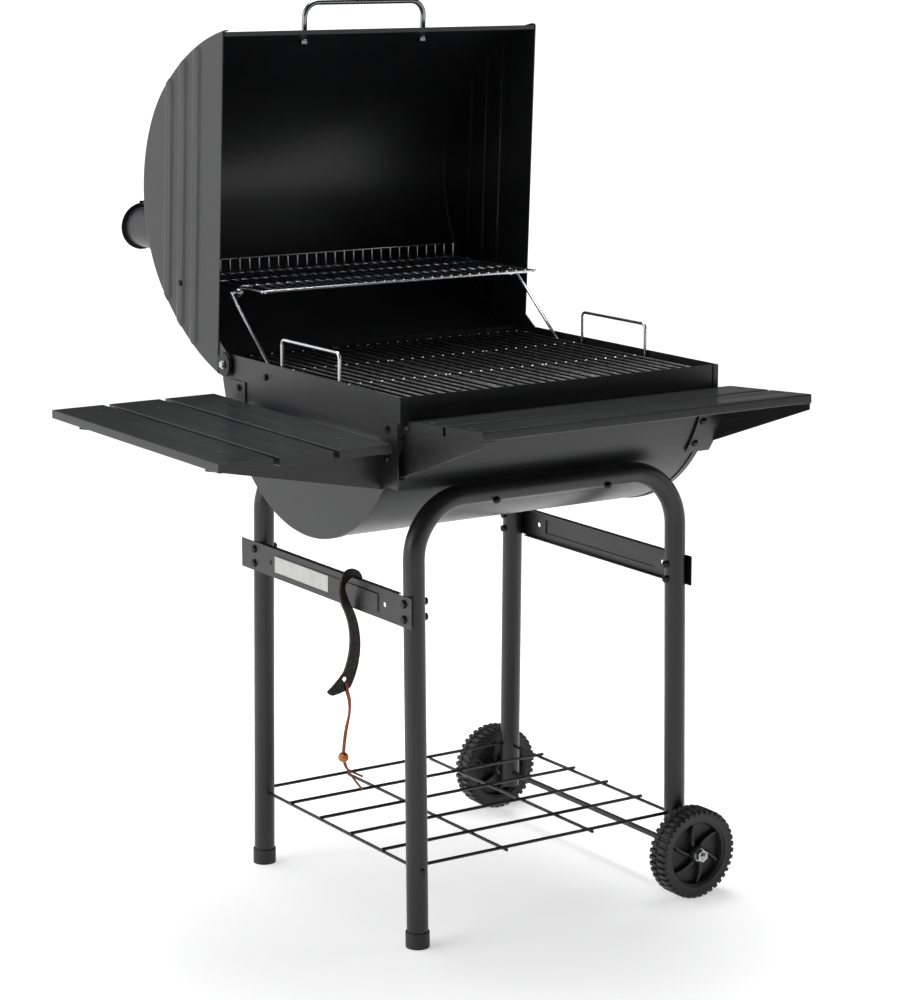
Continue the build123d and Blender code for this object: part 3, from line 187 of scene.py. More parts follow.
def paintedBoard(name, dark, light, rough, alongX):
    # Board with a rolled and sanded black paint: long soft grain lines still telegraph through.
    material, tree, surface, place = newMaterial(name, {"Metallic": 0.0, "IOR": 1.48, "Roughness": rough})
    along, across = perMetre(160), perMetre(2.2)
    stretch = (along, across, across) if alongX else (across, along, across)
    turned = addNode(tree, "Mapping", {"Scale": stretch}, {"Vector": place})
    grain = noise(tree, turned.outputs[0], 1000, 4.0, 0.6)  # already scaled by the stretch
    clouds = noise(tree, place, 60, 3.0)
    paint(tree, surface, ramp(tree, clouds, [(0.35, dark), (0.7, light)]),
          spread(tree, grain, rough - 0.08, rough + 0.08))
    roughen(tree, surface, grain, 0.1, 0.0003)
    return material


def platedSteel(name, dark, light, rough, streak):
    # Plated or drawn steel: full metal, with slight mottling of the plate and fine flecks in the gloss.
    material, tree, surface, place = newMaterial(name, {"Metallic": 1.0, "Roughness": rough})
    mottle = noise(tree, place, 12, 4.0, 0.65)
    fleck = noise(tree, place, streak, 2.0)
    paint(tree, surface, ramp(tree, mottle, [(0.3, dark), (0.7, light)]),
          spread(tree, fleck, rough * 0.7, rough * 1.4))
    return material


def mouldedPlastic(name, dark, light, rough, grit):
    # Black polypropylene from a spark-eroded mould: even fine grain, soft sheen.
    material, tree, surface, place = newMaterial(name, {"Metallic": 0.0, "IOR": 1.49, "Roughness": rough})
    grain = addNode(tree, "TexVoronoi", {"Scale": perMetre(grit)}, {"Vector": place})
    scuff = noise(tree, place, 14, 4.0, 0.7)
    paint(tree, surface, ramp(tree, scuff, [(0.4, dark), (0.75, light)]),
          spread(tree, scuff, rough - 0.06, rough + 0.1))
    roughen(tree, surface, grain.outputs["Distance"], 0.15, 0.0002)
    return material


def vinylFilm():
    # Matt off-white self-adhesive film, very slightly uneven.
    material, tree, surface, place = newMaterial("vinylFilm", {"Metallic": 0.0, "IOR": 1.5, "Roughness": 0.4})
    haze = noise(tree, place, 20, 2.0)
    paint(tree, surface, ramp(tree, haze, [(0.3, "#b4b4b0"), (0.7, "#c2c2be")]))
    return material


def forgedBar():
    # Flat steel bar, hot-bent and oil-blackened: brown-black scale in lighter and darker patches.
    material, tree, surface, place = newMaterial("forgedBar", {"Metallic": 0.85})
    scale = noise(tree, place, 5, 6.0, 0.7)
    colour = ramp(tree, scale, [(0.3, "#1d1c1c"), (0.6, "#37342f"), (0.8, "#5a554d")])
    paint(tree, surface, colour, spread(tree, scale, 0.3, 0.55))
    roughen(tree, surface, scale, 0.3, 0.0003)
    return material


def cordLeather():
    # Round leather lace: red-brown, matt, with a fibrous grain under two millimetres across.
    shader = {"Metallic": 0.0, "IOR": 1.45, "Roughness": 0.62}
    material, tree, surface, place = newMaterial("cordLeather", shader)
    fibre = noise(tree, place, 1.6, 5.0, 0.75)
    paint(tree, surface, ramp(tree, fibre, [(0.3, "#5e2610"), (0.55, "#94451f"), (0.75, "#b96a35")]))
    roughen(tree, surface, fibre, 0.5, 0.0004)
    return material


def turnedBeech():
    # Oiled beech bead: orange-brown with wandering growth lines.
    shader = {"Metallic": 0.0, "IOR": 1.48, "Roughness": 0.38}
    material, tree, surface, place = newMaterial("turnedBeech", shader)
    lines = {"wave_type": "RINGS", "Scale": perMetre(9), "Distortion": 2.5, "Detail": 3.0,
             "Detail Scale": 1.5}
    rings = addNode(tree, "TexWave", lines, {"Vector": place}).outputs["Fac"]
    paint(tree, surface, ramp(tree, rings, [(0.1, "#8a4413"), (0.5, "#c4702a"), (0.9, "#dd9147")]))
    return material


finishes = {
    "lidPaint": sprayedSteel("lidPaint", "#131416", "#1a1b1d", 0.36, 1.4),
    "powderCoat": sprayedSteel("powderCoat", "#121213", "#191919", 0.36, 1.0),
    "trayEnamel": sprayedSteel("trayEnamel", "#161616", "#242322", 0.5, 2.0),
    "boardPaintX": paintedBoard("boardPaintX", "#191a1b", "#202122", 0.33, True),
    "boardPaintY": paintedBoard("boardPaintY", "#191a1b", "#202122", 0.33, False),
    "chromeWire": platedSteel("chromeWire", "#b9bbc0", "#dfe0e3", 0.24, 1.2),
    # the lid handle's chrome is darkened here: painted shade standing in for the dark reflections it shows
    "chromeBarPaintedShade": platedSteel("chromeBarPaintedShade", "#6f7174", "#8b8d90", 0.16, 1.2),
    "zincPlate": platedSteel("zincPlate", "#a4a7aa", "#cfd1d2", 0.28, 0.8),
    # lighter metal on the weld domes: a painted highlight of the glints at the crossings
    "weldPaintedHighlight": platedSteel("weldPaintedHighlight", "#8f8f90", "#c2c2c3", 0.25, 0.8),
    "blackZinc": platedSteel("blackZinc", "#232324", "#3b3b3c", 0.3, 0.8),
    "grateSteel": platedSteel("grateSteel", "#3c3c3d", "#6d6c6b", 0.36, 0.8),
    "wheelPlastic": mouldedPlastic("wheelPlastic", "#151515", "#232323", 0.48, 0.9),
    "footPlastic": mouldedPlastic("footPlastic", "#131313", "#1f1f1f", 0.5, 0.9),
    "vinylFilm": vinylFilm(),
    "forgedBar": forgedBar(),
    "cordLeather": cordLeather(),
    "turnedBeech": turnedBeech(),
}

nodeFinish = {
    "lidPaint": "barrel_shell barrel_end_left barrel_end_right lid_shell lid_end_left lid_end_right "
                "chimney_pipe chimney_flange chimney_cap air_damper",
    "powderCoat": "front_frame_left front_frame_right rear_frame_left rear_frame_right "
                  "brace_left brace_right side_bracket_front side_bracket_rear "
                  "front_bracket_left front_bracket_right wire_shelf axle",
    "trayEnamel": "grate_rails charcoal_tray",
    "boardPaintX": "front_board_inner front_board_outer",
    "boardPaintY": "side_board_outer side_board_middle side_board_inner",
    "chromeWire": "warming_rack rack_struts tray_lift_handles",
    "chromeBarPaintedShade": "lid_handle lid_handle_collars",
    "zincPlate": "frame_sleeves axle_nuts_and_washers damper_rivet chimney_cap_rivet hinge_bolts",
    "blackZinc": "barrel_bolts brace_bolts wire_shelf_screws bracket_bolts board_screws "
                 "hinge_washers strut_bolts rack_bolts",
    "grateSteel": "cooking_grate_left cooking_grate_middle cooking_grate_right",
    "wheelPlastic": "front_wheel rear_wheel",
    "footPlastic": "foot_caps",
    "vinylFilm": "brace_label",
    "forgedBar": "hook_tool",
    "cordLeather": "lanyard_front lanyard_rear",
    "turnedBeech": "lanyard_bead",
}
for finish, names in nodeFinish.items():
    for name in names.split():
        piece = frame["nodes"][name]
        piece.data.materials.clear()
        piece.data.materials.append(finishes[finish])
print("finishes made")


# mesh tools
def addPiece(name, points, faces, finish, body, stands=(), flatAbove=None):
    mesh = bpy.data.meshes.new(name)
    mesh.from_pydata(np.reshape(points, (-1, 3)).tolist(), [], faces)
    mesh.validate()
    mesh.shade_smooth()
    if flatAbove is not None:
        mesh.set_sharp_from_angle(angle=math.radians(flatAbove))
    mesh.materials.append(finishes[finish])
    piece = bpy.data.objects.new(name, mesh)
    bpy.context.scene.collection.objects.link(piece)
    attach(piece, body)
    if stands:
        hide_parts(*stands)
    return piece


def gridFaces(rows, columns, closeRows=False, closeColumns=False, start=0):
    # quads of a rows x columns grid of points, joined round where a direction is closed
    row = np.arange(rows if closeRows else rows - 1)[:, None]
    column = np.arange(columns if closeColumns else columns - 1)[None, :]
    nextRow, nextColumn = (row + 1) % rows, (column + 1) % columns
    corners = [row * columns + column, nextRow * columns + column,
               nextRow * columns + nextColumn, row * columns + nextColumn]
    return (np.stack(np.broadcast_arrays(*corners), -1).reshape(-1, 4) + start).tolist()


def unit(vectors):
    return vectors / np.linalg.norm(vectors, axis=-1, keepdims=True)


def smoothStep(value):
    value = np.clip(value, 0, 1)
    return value * value * (3 - 2 * value)


def joined(parts):
    # several (points, faces) as one
    points, faces, start = [], [], 0
    for partPoints, partFaces in parts:
        flat = np.reshape(partPoints, (-1, 3))
        points.append(flat)
        faces += [[index + start for index in face] for face in partFaces]
        start += len(flat)
    return np.concatenate(points), faces


def straightWires(starts, ends, radius, sides=14):
    # Straight wires, all at once: rings of radius times (cos a, sin a) square to each run,
    # drawn in over the last half radius at both ends so that a cut end is rounded.
    starts, ends = np.array(starts, float), np.array(ends, float)
    length = np.linalg.norm(ends - starts, axis=1)
    along = (ends - starts) / length[:, None]
    helper = np.where(np.abs(along[:, 2:3]) < 0.9, [[0.0, 0.0, 1.0]], [[1.0, 0.0, 0.0]])
    across = unit(np.cross(along, helper))
    upward = np.cross(along, across)
    offsets = np.array([0.0, 0.15, 0.5]) * radius
    near = np.broadcast_to(offsets, (len(length), 3))
    stations = np.concatenate([near, (length[:, None] - offsets)[:, ::-1]], 1)
    scale = np.array([0.62, 0.88, 1.0, 1.0, 0.88, 0.62]) * radius
    turn = 2 * np.pi * np.arange(sides) / sides
    ring = np.cos(turn)[None, :, None] * across[:, None] + np.sin(turn)[None, :, None] * upward[:, None]
    points = (starts[:, None, None] + stations[:, :, None, None] * along[:, None, None]
              + scale[None, :, None, None] * ring[:, None])
    one = gridFaces(6, sides, closeColumns=True)
    one += [list(range(sides)), list(range(5 * sides, 6 * sides))[::-1]]
    faces = [[index + wire * 6 * sides for index in face] for wire in range(len(length)) for face in one]
    return points, faces


def roundedPath(corners, bend, steps=9):
    # straight runs joined by circular arcs of radius bend
    corners = [np.array(corner, float) for corner in corners]
    path = [corners[0][None]]
    for before, here, after in zip(corners, corners[1:], corners[2:]):
        inward, outward = unit(before - here), unit(after - here)
        half = math.acos(float(np.clip(inward @ outward, -1, 1))) / 2
        centre = here + unit(inward + outward) * bend / math.sin(half)
        first = here + inward * bend / math.tan(half) - centre
        last = here + outward * bend / math.tan(half) - centre
        turn = np.linspace(0, 1, steps)[:, None] * (math.pi - 2 * half)
        sweep = math.pi - 2 * half
        path.append(centre + (np.sin(sweep - turn) * first + np.sin(turn) * last) / math.sin(sweep))
    return np.concatenate(path + [corners[-1][None]])


def bentWire(path, radius, flatNormal, sides=20):
    # A wire bent in one plane: rings of radius times (cos a, sin a) on the plane's normal
    # and on its cross product with the path's direction.
    path = np.array(path, float)
    along = unit(np.gradient(path, axis=0))
    upward = np.broadcast_to(unit(np.array(flatNormal, float)), along.shape)
    across = unit(np.cross(upward, along))
    turn = 2 * np.pi * np.arange(sides) / sides
    ring = np.cos(turn)[None, :, None] * across[:, None] + np.sin(turn)[None, :, None] * upward[:, None]
    points = path[:, None] + radius * ring
    faces = gridFaces(len(path), sides, closeColumns=True)
    faces += [list(range(sides)), list(range((len(path) - 1) * sides, len(path) * sides))[::-1]]
    return points, [face[::-1] for face in faces]


def softened(node, finish, bevel=0.0006, segments=2, angle=32):
    # The node's own shape with its loose triangles merged, flat parts made one face,
    # and every hard edge rounded so that it catches the light.
    source = frame["nodes"][node]
    mesh = source.data.copy()
    mesh.name = node + "Soft"
    work = bmesh.new()
    work.from_mesh(mesh)
    bmesh.ops.remove_doubles(work, verts=work.verts, dist=0.000004)
    bmesh.ops.dissolve_limit(work, angle_limit=math.radians(0.4), verts=work.verts, edges=work.edges,
                             delimit={"NORMAL"})
    work.to_mesh(mesh)
    work.free()
    mesh.shade_smooth()
    mesh.set_sharp_from_angle(angle=math.radians(angle))
    mesh.materials.clear()
    mesh.materials.append(finishes[finish])
    piece = bpy.data.objects.new(node + "Soft", mesh)
    bpy.context.scene.collection.objects.link(piece)
    if bevel:
        rounding = piece.modifiers.new("roundedEdges", "BEVEL")
        rounding.width = bevel
        rounding.segments = segments
        rounding.limit_method = "ANGLE"
        rounding.angle_limit = math.radians(angle)
        rounding.harden_normals = True
    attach(piece, source["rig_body"])
    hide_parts(node)
    return piece


hinge = {"y": 0.246, "z": 0.808, "open": 87.0}  # the lid's axis, from the barrel's middle at floor level
hingePlace = np.array(frame["joints"][0]["pos_m"])
barrelToFrame = hingePlace - np.array([0.0, hinge["y"], hinge["z"]])

softEdges = {
    "barrel_shell": 0.0004, "barrel_end_left": 0.0009, "barrel_end_right": 0.0009, "lid_shell": 0.0004,
    "chimney_pipe": 0.0004, "chimney_flange": 0.0005, "chimney_cap": 0.0004, "air_damper": 0.0004,
    "front_frame_left": 0.0003, "front_frame_right": 0.0003, "rear_frame_left": 0.0003,
    "rear_frame_right": 0.0003, "brace_left": 0.0004, "brace_right": 0.0004,
    "side_bracket_front": 0.0005, "side_bracket_rear": 0.0005,
    "front_bracket_left": 0.0005, "front_bracket_right": 0.0005, "foot_caps": 0.0012,
    "front_board_inner": 0.0006, "front_board_outer": 0.0006, "side_board_outer": 0.0006,
    "side_board_middle": 0.0006, "side_board_inner": 0.0006, "board_screws": 0.0002, "bracket_bolts": 0.0004,
    "brace_bolts": 0.0004, "barrel_bolts": 0.0004, "axle_nuts_and_washers": 0.0004, "hinge_bolts": 0.0004,
    "hinge_washers": 0.0005, "strut_bolts": 0.0003, "rack_bolts": 0.0003, "wire_shelf_screws": 0.0003,
    "hook_tool": 0.0013, "charcoal_tray": 0.0003, "lid_handle_collars": 0.0005, "rack_struts": 0.0,
}
nodeToFinish = {name: finish for finish, names in nodeFinish.items() for name in names.split()}
for node, bevel in softEdges.items():
    softened(node, nodeToFinish[node], bevel)
print("sheet parts, tubes and boards softened")


# lid ends with their pressed ribs
lidEnd = {"x": 0.290, "half": 0.267, "height": 0.261, "roundness": 0.847, "flankStart": 47.0, "corner": 0.003,
          "flange": 0.009, "sheet": 0.0015, "thickness": 0.0013,
          "ribWidth": 0.026, "ribRise": 0.0022, "ribEdge": 0.004,
          "ribs": ((0.082, 0.237), (0.127, 0.216), (0.172, 0.180)), "ear": 0.021,
          "hingeBehind": 0.249, "hingeBelow": 0.0175}


def swingOpen(u, h, settings=lidEnd):
    # A point of the shut lid, u behind its middle and h above its edge, turned back about the hinge.
    a = math.radians(hinge["open"])
    behind, above = np.asarray(u) - settings["hingeBehind"], np.asarray(h) + settings["hingeBelow"]
    y = hingePlace[1] + behind * math.cos(a) + above * math.sin(a)
    z = hingePlace[2] - behind * math.sin(a) + above * math.cos(a)
    return y, z


def lidArch(turn, settings, inset=0.0):
    # The lid's outline: an arc of the top radius up to flankStart each side of the top,
    # then an arc of larger radius that meets it smoothly and runs down to the edge.
    topRadius = settings["roundness"] * settings["half"]
    centre = settings["height"] - topRadius
    start = math.radians(settings["flankStart"])
    excess = (settings["half"] ** 2 + centre ** 2 - topRadius ** 2) / (
        2 * (topRadius - settings["half"] * math.sin(start) + centre * math.cos(start)))
    flankRadius = topRadius + excess
    flankY, flankZ = excess * math.sin(start), centre - excess * math.cos(start)
    foot = math.acos(-flankZ / (flankRadius - inset))
    side = np.sign(turn)
    size = np.abs(turn) * foot / (math.pi / 2)
    onTop = size <= start
    radius = np.where(onTop, topRadius, flankRadius) - inset
    u = radius * np.sin(size) - np.where(onTop, 0.0, flankY)
    h = radius * np.cos(size) + np.where(onTop, centre, flankZ)
    return side * u, h, side * np.sin(size), np.cos(size)


def makeLidEnd(side, name, node, settings=lidEnd):
    # Rays run from the middle of the lid's edge to its arch; the face is raised by ribRise inside
    # each rib's rounded slot, fading over ribEdge, then turns through the corner radius into the flange.
    turn = np.linspace(-math.pi / 2, math.pi / 2, 260)
    u, h, normalU, normalH = lidArch(turn, settings)
    corner = settings["corner"]
    innerU, innerH = u - corner * normalU, np.maximum(h - corner * normalH, 0)
    share = np.linspace(0.0, 1.0, 170)[:, None]
    faceU, faceH = share * innerU, share * innerH
    rise = np.zeros(faceU.shape)
    for height, halfLength in settings["ribs"]:
        straight = halfLength - settings["ribWidth"] / 2
        beyond = np.maximum(np.abs(faceU) - straight, 0)
        away = np.sqrt(beyond ** 2 + (faceH - height) ** 2)
        rise += settings["ribRise"] * smoothStep((settings["ribWidth"] / 2 - away) / settings["ribEdge"])
    bendTurn = np.linspace(0, math.pi / 2, 7)[1:, None]
    bendU = innerU + corner * np.sin(bendTurn) * normalU
    bendH = innerH + corner * np.sin(bendTurn) * normalH
    bendX = corner * (1 - np.cos(bendTurn)) + 0 * bendU
    flangeX = np.array([[settings["flange"]]]) + 0 * u[None]
    allU = np.concatenate([faceU, bendU, u[None]])
    allH = np.concatenate([faceH, bendH, h[None]])
    depth = np.concatenate([-rise, bendX, flangeX])
    y, z = swingOpen(allU, allH)
    x = barrelToFrame[0] + side * (settings["x"] - depth)
    faces = gridFaces(len(allU), len(turn))
    if side < 0:
        faces = [face[::-1] for face in faces]
    piece = addPiece(name, np.stack([x, y, z], -1), faces, "lidPaint", "lid", (node,))
    wall = piece.modifiers.new("sheet", "SOLIDIFY")
    wall.thickness = settings["thickness"]
    wall.offset = -1
    # the ear that carries the hinge: a flat plate, round below the axis, rising to the edge on both sides
    bow = np.linspace(math.radians(200), math.radians(335), 24)
    earU = settings["hingeBehind"] + settings["ear"] * np.cos(bow)
    earH = settings["ear"] * np.sin(bow) - settings["hingeBelow"]
    back, tuck = settings["half"] - 0.0005, 0.002  # how far the plate reaches behind and above the edge
    earU = np.concatenate([[settings["hingeBehind"] - settings["ear"] * 1.7], earU, [back, back]])
    earH = np.concatenate([[tuck], earH, [-0.010, tuck]])
    y, z = swingOpen(earU, earH)
    near = np.stack([np.full(len(y), barrelToFrame[0] + side * settings["x"]), y, z], -1)
    far = near - np.array([side * settings["sheet"], 0, 0])
    count = len(y)
    ring = [[i, (i + 1) % count, count + (i + 1) % count, count + i] for i in range(count)]
    plate = [list(range(count)), list(range(count, 2 * count))[::-1]] + [face[::-1] for face in ring]
    if side > 0:
        plate = [face[::-1] for face in plate]
    addPiece(name + "Ear", np.concatenate([near, far]), plate, "lidPaint", "lid", (), 30)


makeLidEnd(-1, "lidEndLeft", "lid_end_left")
makeLidEnd(1, "lidEndRight", "lid_end_right")
print("lid ends pressed")


# wires: warming rack, grates, bottom shelf, lift handles, lid handle
rack = {"half": 0.252, "front": 0.185, "rear": 0.422, "level": 0.925, "fence": 0.024, "wires": 29,
        "rail": 0.0025, "middle": 0.002, "side": 0.0023, "thin": 0.0015, "lift": 0.0028,
        "eyes": ((0.2605, 0.9163), (0.382, 0.921)), "eyeOuter": 0.0075, "eyeBore": 0.0028, "eyeLength": 0.007}


def at(x, y, z):
    return np.array([x, y, z]) + barrelToFrame


def makeRack(settings):
    # Rails front and rear, wires across at even pitch that turn up at the back to a top wire.
    half, front, rear, level = (settings[key] for key in ("half", "front", "rear", "level"))
    top = level + settings["fence"]
    between = [front + (rear - front) * i / 3 for i in (1, 2)]
    runs = [([front, rear], level, half + 0.005, settings["rail"], 18),
            (between, level, half, settings["middle"], 14), ([rear], top, half, settings["thin"], 14)]
    parts = []
    for rows, height, reach, thickness, sides in runs:
        starts, ends = ([at(side * reach, y, height) for y in rows] for side in (-1, 1))
        parts.append(straightWires(starts, ends, thickness, sides))
    for x in np.linspace(-half, half, settings["wires"]):
        inner = abs(x) < half - 0.001
        height = level + (settings["lift"] if inner else 0)
        back = rear + settings["lift"]
        route = [at(x, front - 0.0035, height), at(x, back, height), at(x, back, top + 0.001)]
        thickness = settings["thin"] if inner else settings["side"]
        parts.append(bentWire(roundedPath(route, 0.004, 6), thickness, (1, 0, 0), 12))
    return joined(parts)


def makeEyes(centres, side, outer, inner, length):
    # A short tube with rounded rims: the ring's section is a rounded rectangle carried round the axis.
    section = np.array([[inner, 0.1], [inner, 0.9], [inner * 1.06, 1.0], [outer * 0.95, 1.0], [outer, 0.9],
                        [outer, 0.1], [outer * 0.95, 0.0], [inner * 1.06, 0.0]])
    turn = 2 * np.pi * np.arange(36) / 36
    parts = []
    for x, y, z in centres:
        radius, along = section[:, :1], section[:, 1:]
        points = np.stack([x + side * length * along + 0 * turn, y + radius * np.cos(turn),
                           z + radius * np.sin(turn)], -1)
        faces = gridFaces(len(section), 36, True, True)
        parts.append((points, faces if side < 0 else [face[::-1] for face in faces]))
    return joined(parts)


parts = [makeRack(rack)]
for side in (-1, 1):
    centres = [at(side * (rack["half"] + 0.001), y, z) for y, z in rack["eyes"]]
    parts.append(makeEyes(centres, side, rack["eyeOuter"], rack["eyeBore"], rack["eyeLength"]))
points, faces = joined(parts)
addPiece("warmingRack", points, faces, "chromeWire", "rack", ("warming_rack",),
         40)

grates = {"half": 0.263, "split": 0.002, "sections": 3, "wires": 10, "wire": 0.00225, "rod": 0.003,
          "wireLevel": 0.81675, "rodLevel": 0.8121, "halfDepth": 0.250, "rodInset": 0.005,
          "weld": (0.0031, 0.0036, 0.0014)}


def makeGrate(index, name, node, settings=grates):
    # Ten wires front to back over four rods, with the flattened spot of each weld on top; its lighter metal
    # is a painted highlight.
    length = (2 * settings["half"] - 2 * settings["split"]) / settings["sections"]
    left = -settings["half"] + index * (length + settings["split"])
    reach = settings["halfDepth"] - settings["rodInset"]
    rodY = np.linspace(-reach, reach, 4)
    wireX = np.linspace(left + settings["wire"], left + length - settings["wire"], settings["wires"])
    parts = [straightWires([at(left, y, settings["rodLevel"]) for y in rodY],
                           [at(left + length, y, settings["rodLevel"]) for y in rodY], settings["rod"], 16)]
    depth = settings["halfDepth"]
    parts.append(straightWires([at(x, -depth, settings["wireLevel"]) for x in wireX],
                               [at(x, depth, settings["wireLevel"]) for x in wireX], settings["wire"], 14))
    points, faces = joined(parts)
    body = frame["nodes"][node]["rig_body"]
    addPiece(name, points, faces, "grateSteel", body, (node,), 40)
    # weld spots: a low ellipsoid at each crossing
    turn = 2 * np.pi * np.arange(10) / 10
    slope = np.linspace(0.08, math.pi - 0.08, 6)[:, None]
    wide, long, tall = settings["weld"]
    dome = np.stack([wide * np.sin(slope) * np.cos(turn), long * np.sin(slope) * np.sin(turn),
                     tall * np.cos(slope) + 0 * turn], -1)
    spots = [(dome + at(x, y, settings["wireLevel"] + 0.0012), gridFaces(6, 10, closeColumns=True)
              + [list(range(10))[::-1], list(range(50, 60))]) for x in wireX for y in rodY]
    points, faces = joined(spots)
    addPiece(name + "Welds", points, faces, "weldPaintedHighlight", body, ())


for index, part in enumerate(("Left", "Middle", "Right")):
    makeGrate(index, "grate" + part, "cooking_grate_" + part.lower())

handles = {"x": 0.279, "half": 0.084, "low": 0.708, "top": 0.866, "wire": 0.0025, "bend": 0.008,
           "inner": 0.254}
parts = []
for side in (-1, 1):
    x, half = side * handles["x"], handles["half"]
    route = [at(x, -half, handles["low"]), at(x, -half, handles["top"]), at(x, half, handles["top"]),
             at(x, half, handles["low"])]
    parts.append(bentWire(roundedPath(route, handles["bend"]), handles["wire"], (1, 0, 0)))
    ends = [-half, half]
    parts.append(straightWires([at(side * handles["inner"], y, handles["low"]) for y in ends],
                               [at(x + side * 0.0025, y, handles["low"]) for y in ends], handles["wire"], 20))
points, faces = joined(parts)
addPiece("liftHandles", points, faces, "chromeWire", "tray", ("tray_lift_handles",), 40)

lidBar = {"half": 0.111, "rise": 0.062, "reach": 0.058, "radius": 0.0045, "bend": 0.024}
u, h, normalU, normalH = lidArch(np.linspace(-math.pi / 2, 0, 4000), lidEnd, 0.0016)
faceU = float(u[np.argmin(np.abs(h - lidBar["rise"]))])
route = []
for x, out in ((-1, -0.006), (-1, lidBar["reach"]), (1, lidBar["reach"]), (1, -0.006)):
    y, z = swingOpen(faceU - out, lidBar["rise"])
    route.append([barrelToFrame[0] + x * lidBar["half"], float(y), float(z)])
a = math.radians(hinge["open"])
outward = (0, math.sin(a), math.cos(a))
points, faces = bentWire(roundedPath(route, lidBar["bend"], 14), lidBar["radius"], outward, 28)
addPiece("lidHandle", points, faces, "chromeBarPaintedShade", "lid", ("lid_handle",), 40)

shelf = {"level": 0.118, "wire": 0.0025, "legX": 0.237, "rows": 6, "rowY": 0.2262, "columns": 2}


def makeShelf(settings):
    # Two side wires and two more between them run front to back; six lie across on top of them.
    level, wire, legX, rowY = (settings[key] for key in ("level", "wire", "legX", "rowY"))
    starts, ends = [], []
    for x in (-legX, legX):
        starts.append(at(x, -rowY + 0.0161, level))
        ends.append(at(x, rowY - 0.0161, level))
    for x in np.linspace(-legX, legX, settings["columns"] + 2)[1:-1]:
        starts.append(at(x, -rowY - 0.003, level))
        ends.append(at(x, rowY + 0.003, level))
    for row, y in enumerate(np.linspace(-rowY, rowY, settings["rows"])):
        outer = row in (0, settings["rows"] - 1)
        end = legX - 0.0161 if outer else legX + 0.005
        starts.append(at(-end, y, level + 2 * wire - 0.0005))
        ends.append(at(end, y, level + 2 * wire - 0.0005))
    return straightWires(starts, ends, wire, 16)


points, faces = makeShelf(shelf)
addPiece("bottomShelf", points, faces, "powderCoat", "stand", ("wire_shelf",), 40)
print("wires bent")


# wheels
wheel = {"radius": 0.070, "half": 0.019, "bore": 0.00478, "hub": 0.0125, "rim": 0.0475, "sidewall": 0.0505,
         "lugs": 40, "lugDepth": 0.0042, "lugFill": 0.58, "lugEdge": 0.09, "spokes": 6, "spokeTwist": 26.0,
         "spokeWidth": 0.0062}


def makeWheel(name, node, settings=wheel):
    # One closed profile of (radius, offset) turned about the axle. The tread is lower by lugDepth between
    # lugs, and its two rows are half a pitch apart. Spokes lift the recess where the angle is near a spoke
    # line that leans forward as the radius grows.
    low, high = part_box(node)
    centre = (np.array(low) + np.array(high)) / 2
    radius, half = settings["radius"], settings["half"]
    hub, rim, wallR = settings["hub"], settings["rim"], settings["sidewall"]
    recess = np.linspace(hub + 0.0022, rim - 0.0008, 34)
    sideR = [settings["bore"], hub - 0.0012, hub - 0.0003, hub, hub + 0.0006] + list(recess)
    sideY = [half - 0.0002, half - 0.0002, half - 0.0006, half - 0.0016, 0.0042] + [0.003] * len(recess)
    sideR += [rim, rim + 0.0006, rim + 0.0018, wallR, wallR + 0.0015, wallR + 0.0016]
    sideR += [radius - 0.0085, radius - 0.0060]
    sideY += [0.004, 0.0128, 0.0142, 0.0144, 0.0152, 0.0166, 0.0176, 0.0180]
    sideR += [radius - 0.0042, radius - 0.0022, radius - 0.0007, radius]
    sideY += [0.0182, 0.0178, 0.0166, 0.0150]
    treadY = np.linspace(0.0132, 0.0, 12)
    ringR = np.array(sideR + [radius] * len(treadY))
    ringY = np.array(sideY + list(treadY))
    profileR = np.concatenate([ringR, ringR[-2::-1]])
    profileY = np.concatenate([ringY, -ringY[-2::-1]])
    steps = settings["lugs"] * 12
    turn = 2 * np.pi * np.arange(steps) / steps
    r = profileR[:, None] + 0 * turn
    y = profileY[:, None] + 0 * turn
    row = np.where(y < 0, 0.0, 0.5)
    phase = (turn * settings["lugs"] / (2 * np.pi) + row) % 1.0
    edge = settings["lugEdge"]
    onLug = smoothStep((0.5 * settings["lugFill"] + edge / 2 - np.abs(phase - 0.5)) / edge)
    tread = smoothStep((r - (radius - 0.0075)) / 0.0035)
    between = 1 - smoothStep((np.abs(y) - 0.0008) / 0.0016)
    cut = settings["lugDepth"] * np.maximum(1 - onLug, 0.75 * between) * tread
    r = r - cut
    inRecess = (r > hub + 0.001) & (r < rim - 0.0004) & (np.abs(y) < 0.0045)
    lean = math.radians(settings["spokeTwist"]) * np.clip((r - hub) / (rim - hub), 0, 1) ** 0.8
    pitch = 2 * np.pi / settings["spokes"]
    offset = (turn - lean * np.sign(y + 1e-9) + pitch / 2) % pitch - pitch / 2
    away = np.abs(offset) * r
    spoke = smoothStep((settings["spokeWidth"] / 2 + 0.0009 - away) / 0.0018)
    crown = 0.0105 - 0.0030 * ((r - hub) / (rim - hub))
    y = np.where(inRecess, np.sign(y) * (np.abs(y) + spoke * crown), y)
    points = np.stack([centre[0] + r * np.cos(turn), centre[1] + y, centre[2] + r * np.sin(turn)], -1)
    faces = gridFaces(len(profileR), steps, True, True)
    outward = [face[::-1] for face in faces]
    body = frame["nodes"][node]["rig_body"]
    addPiece(name, points, outward, "wheelPlastic", body, (node,), 42)


makeWheel("frontWheel", "front_wheel")
makeWheel("rearWheel", "rear_wheel")
print("wheels turned")


# lanyard of the hook tool
lanyard = {"hole": (-0.2717, -0.080, 0.3748), "diameter": 0.0032, "bead": 0.008, "bore": 0.0045}


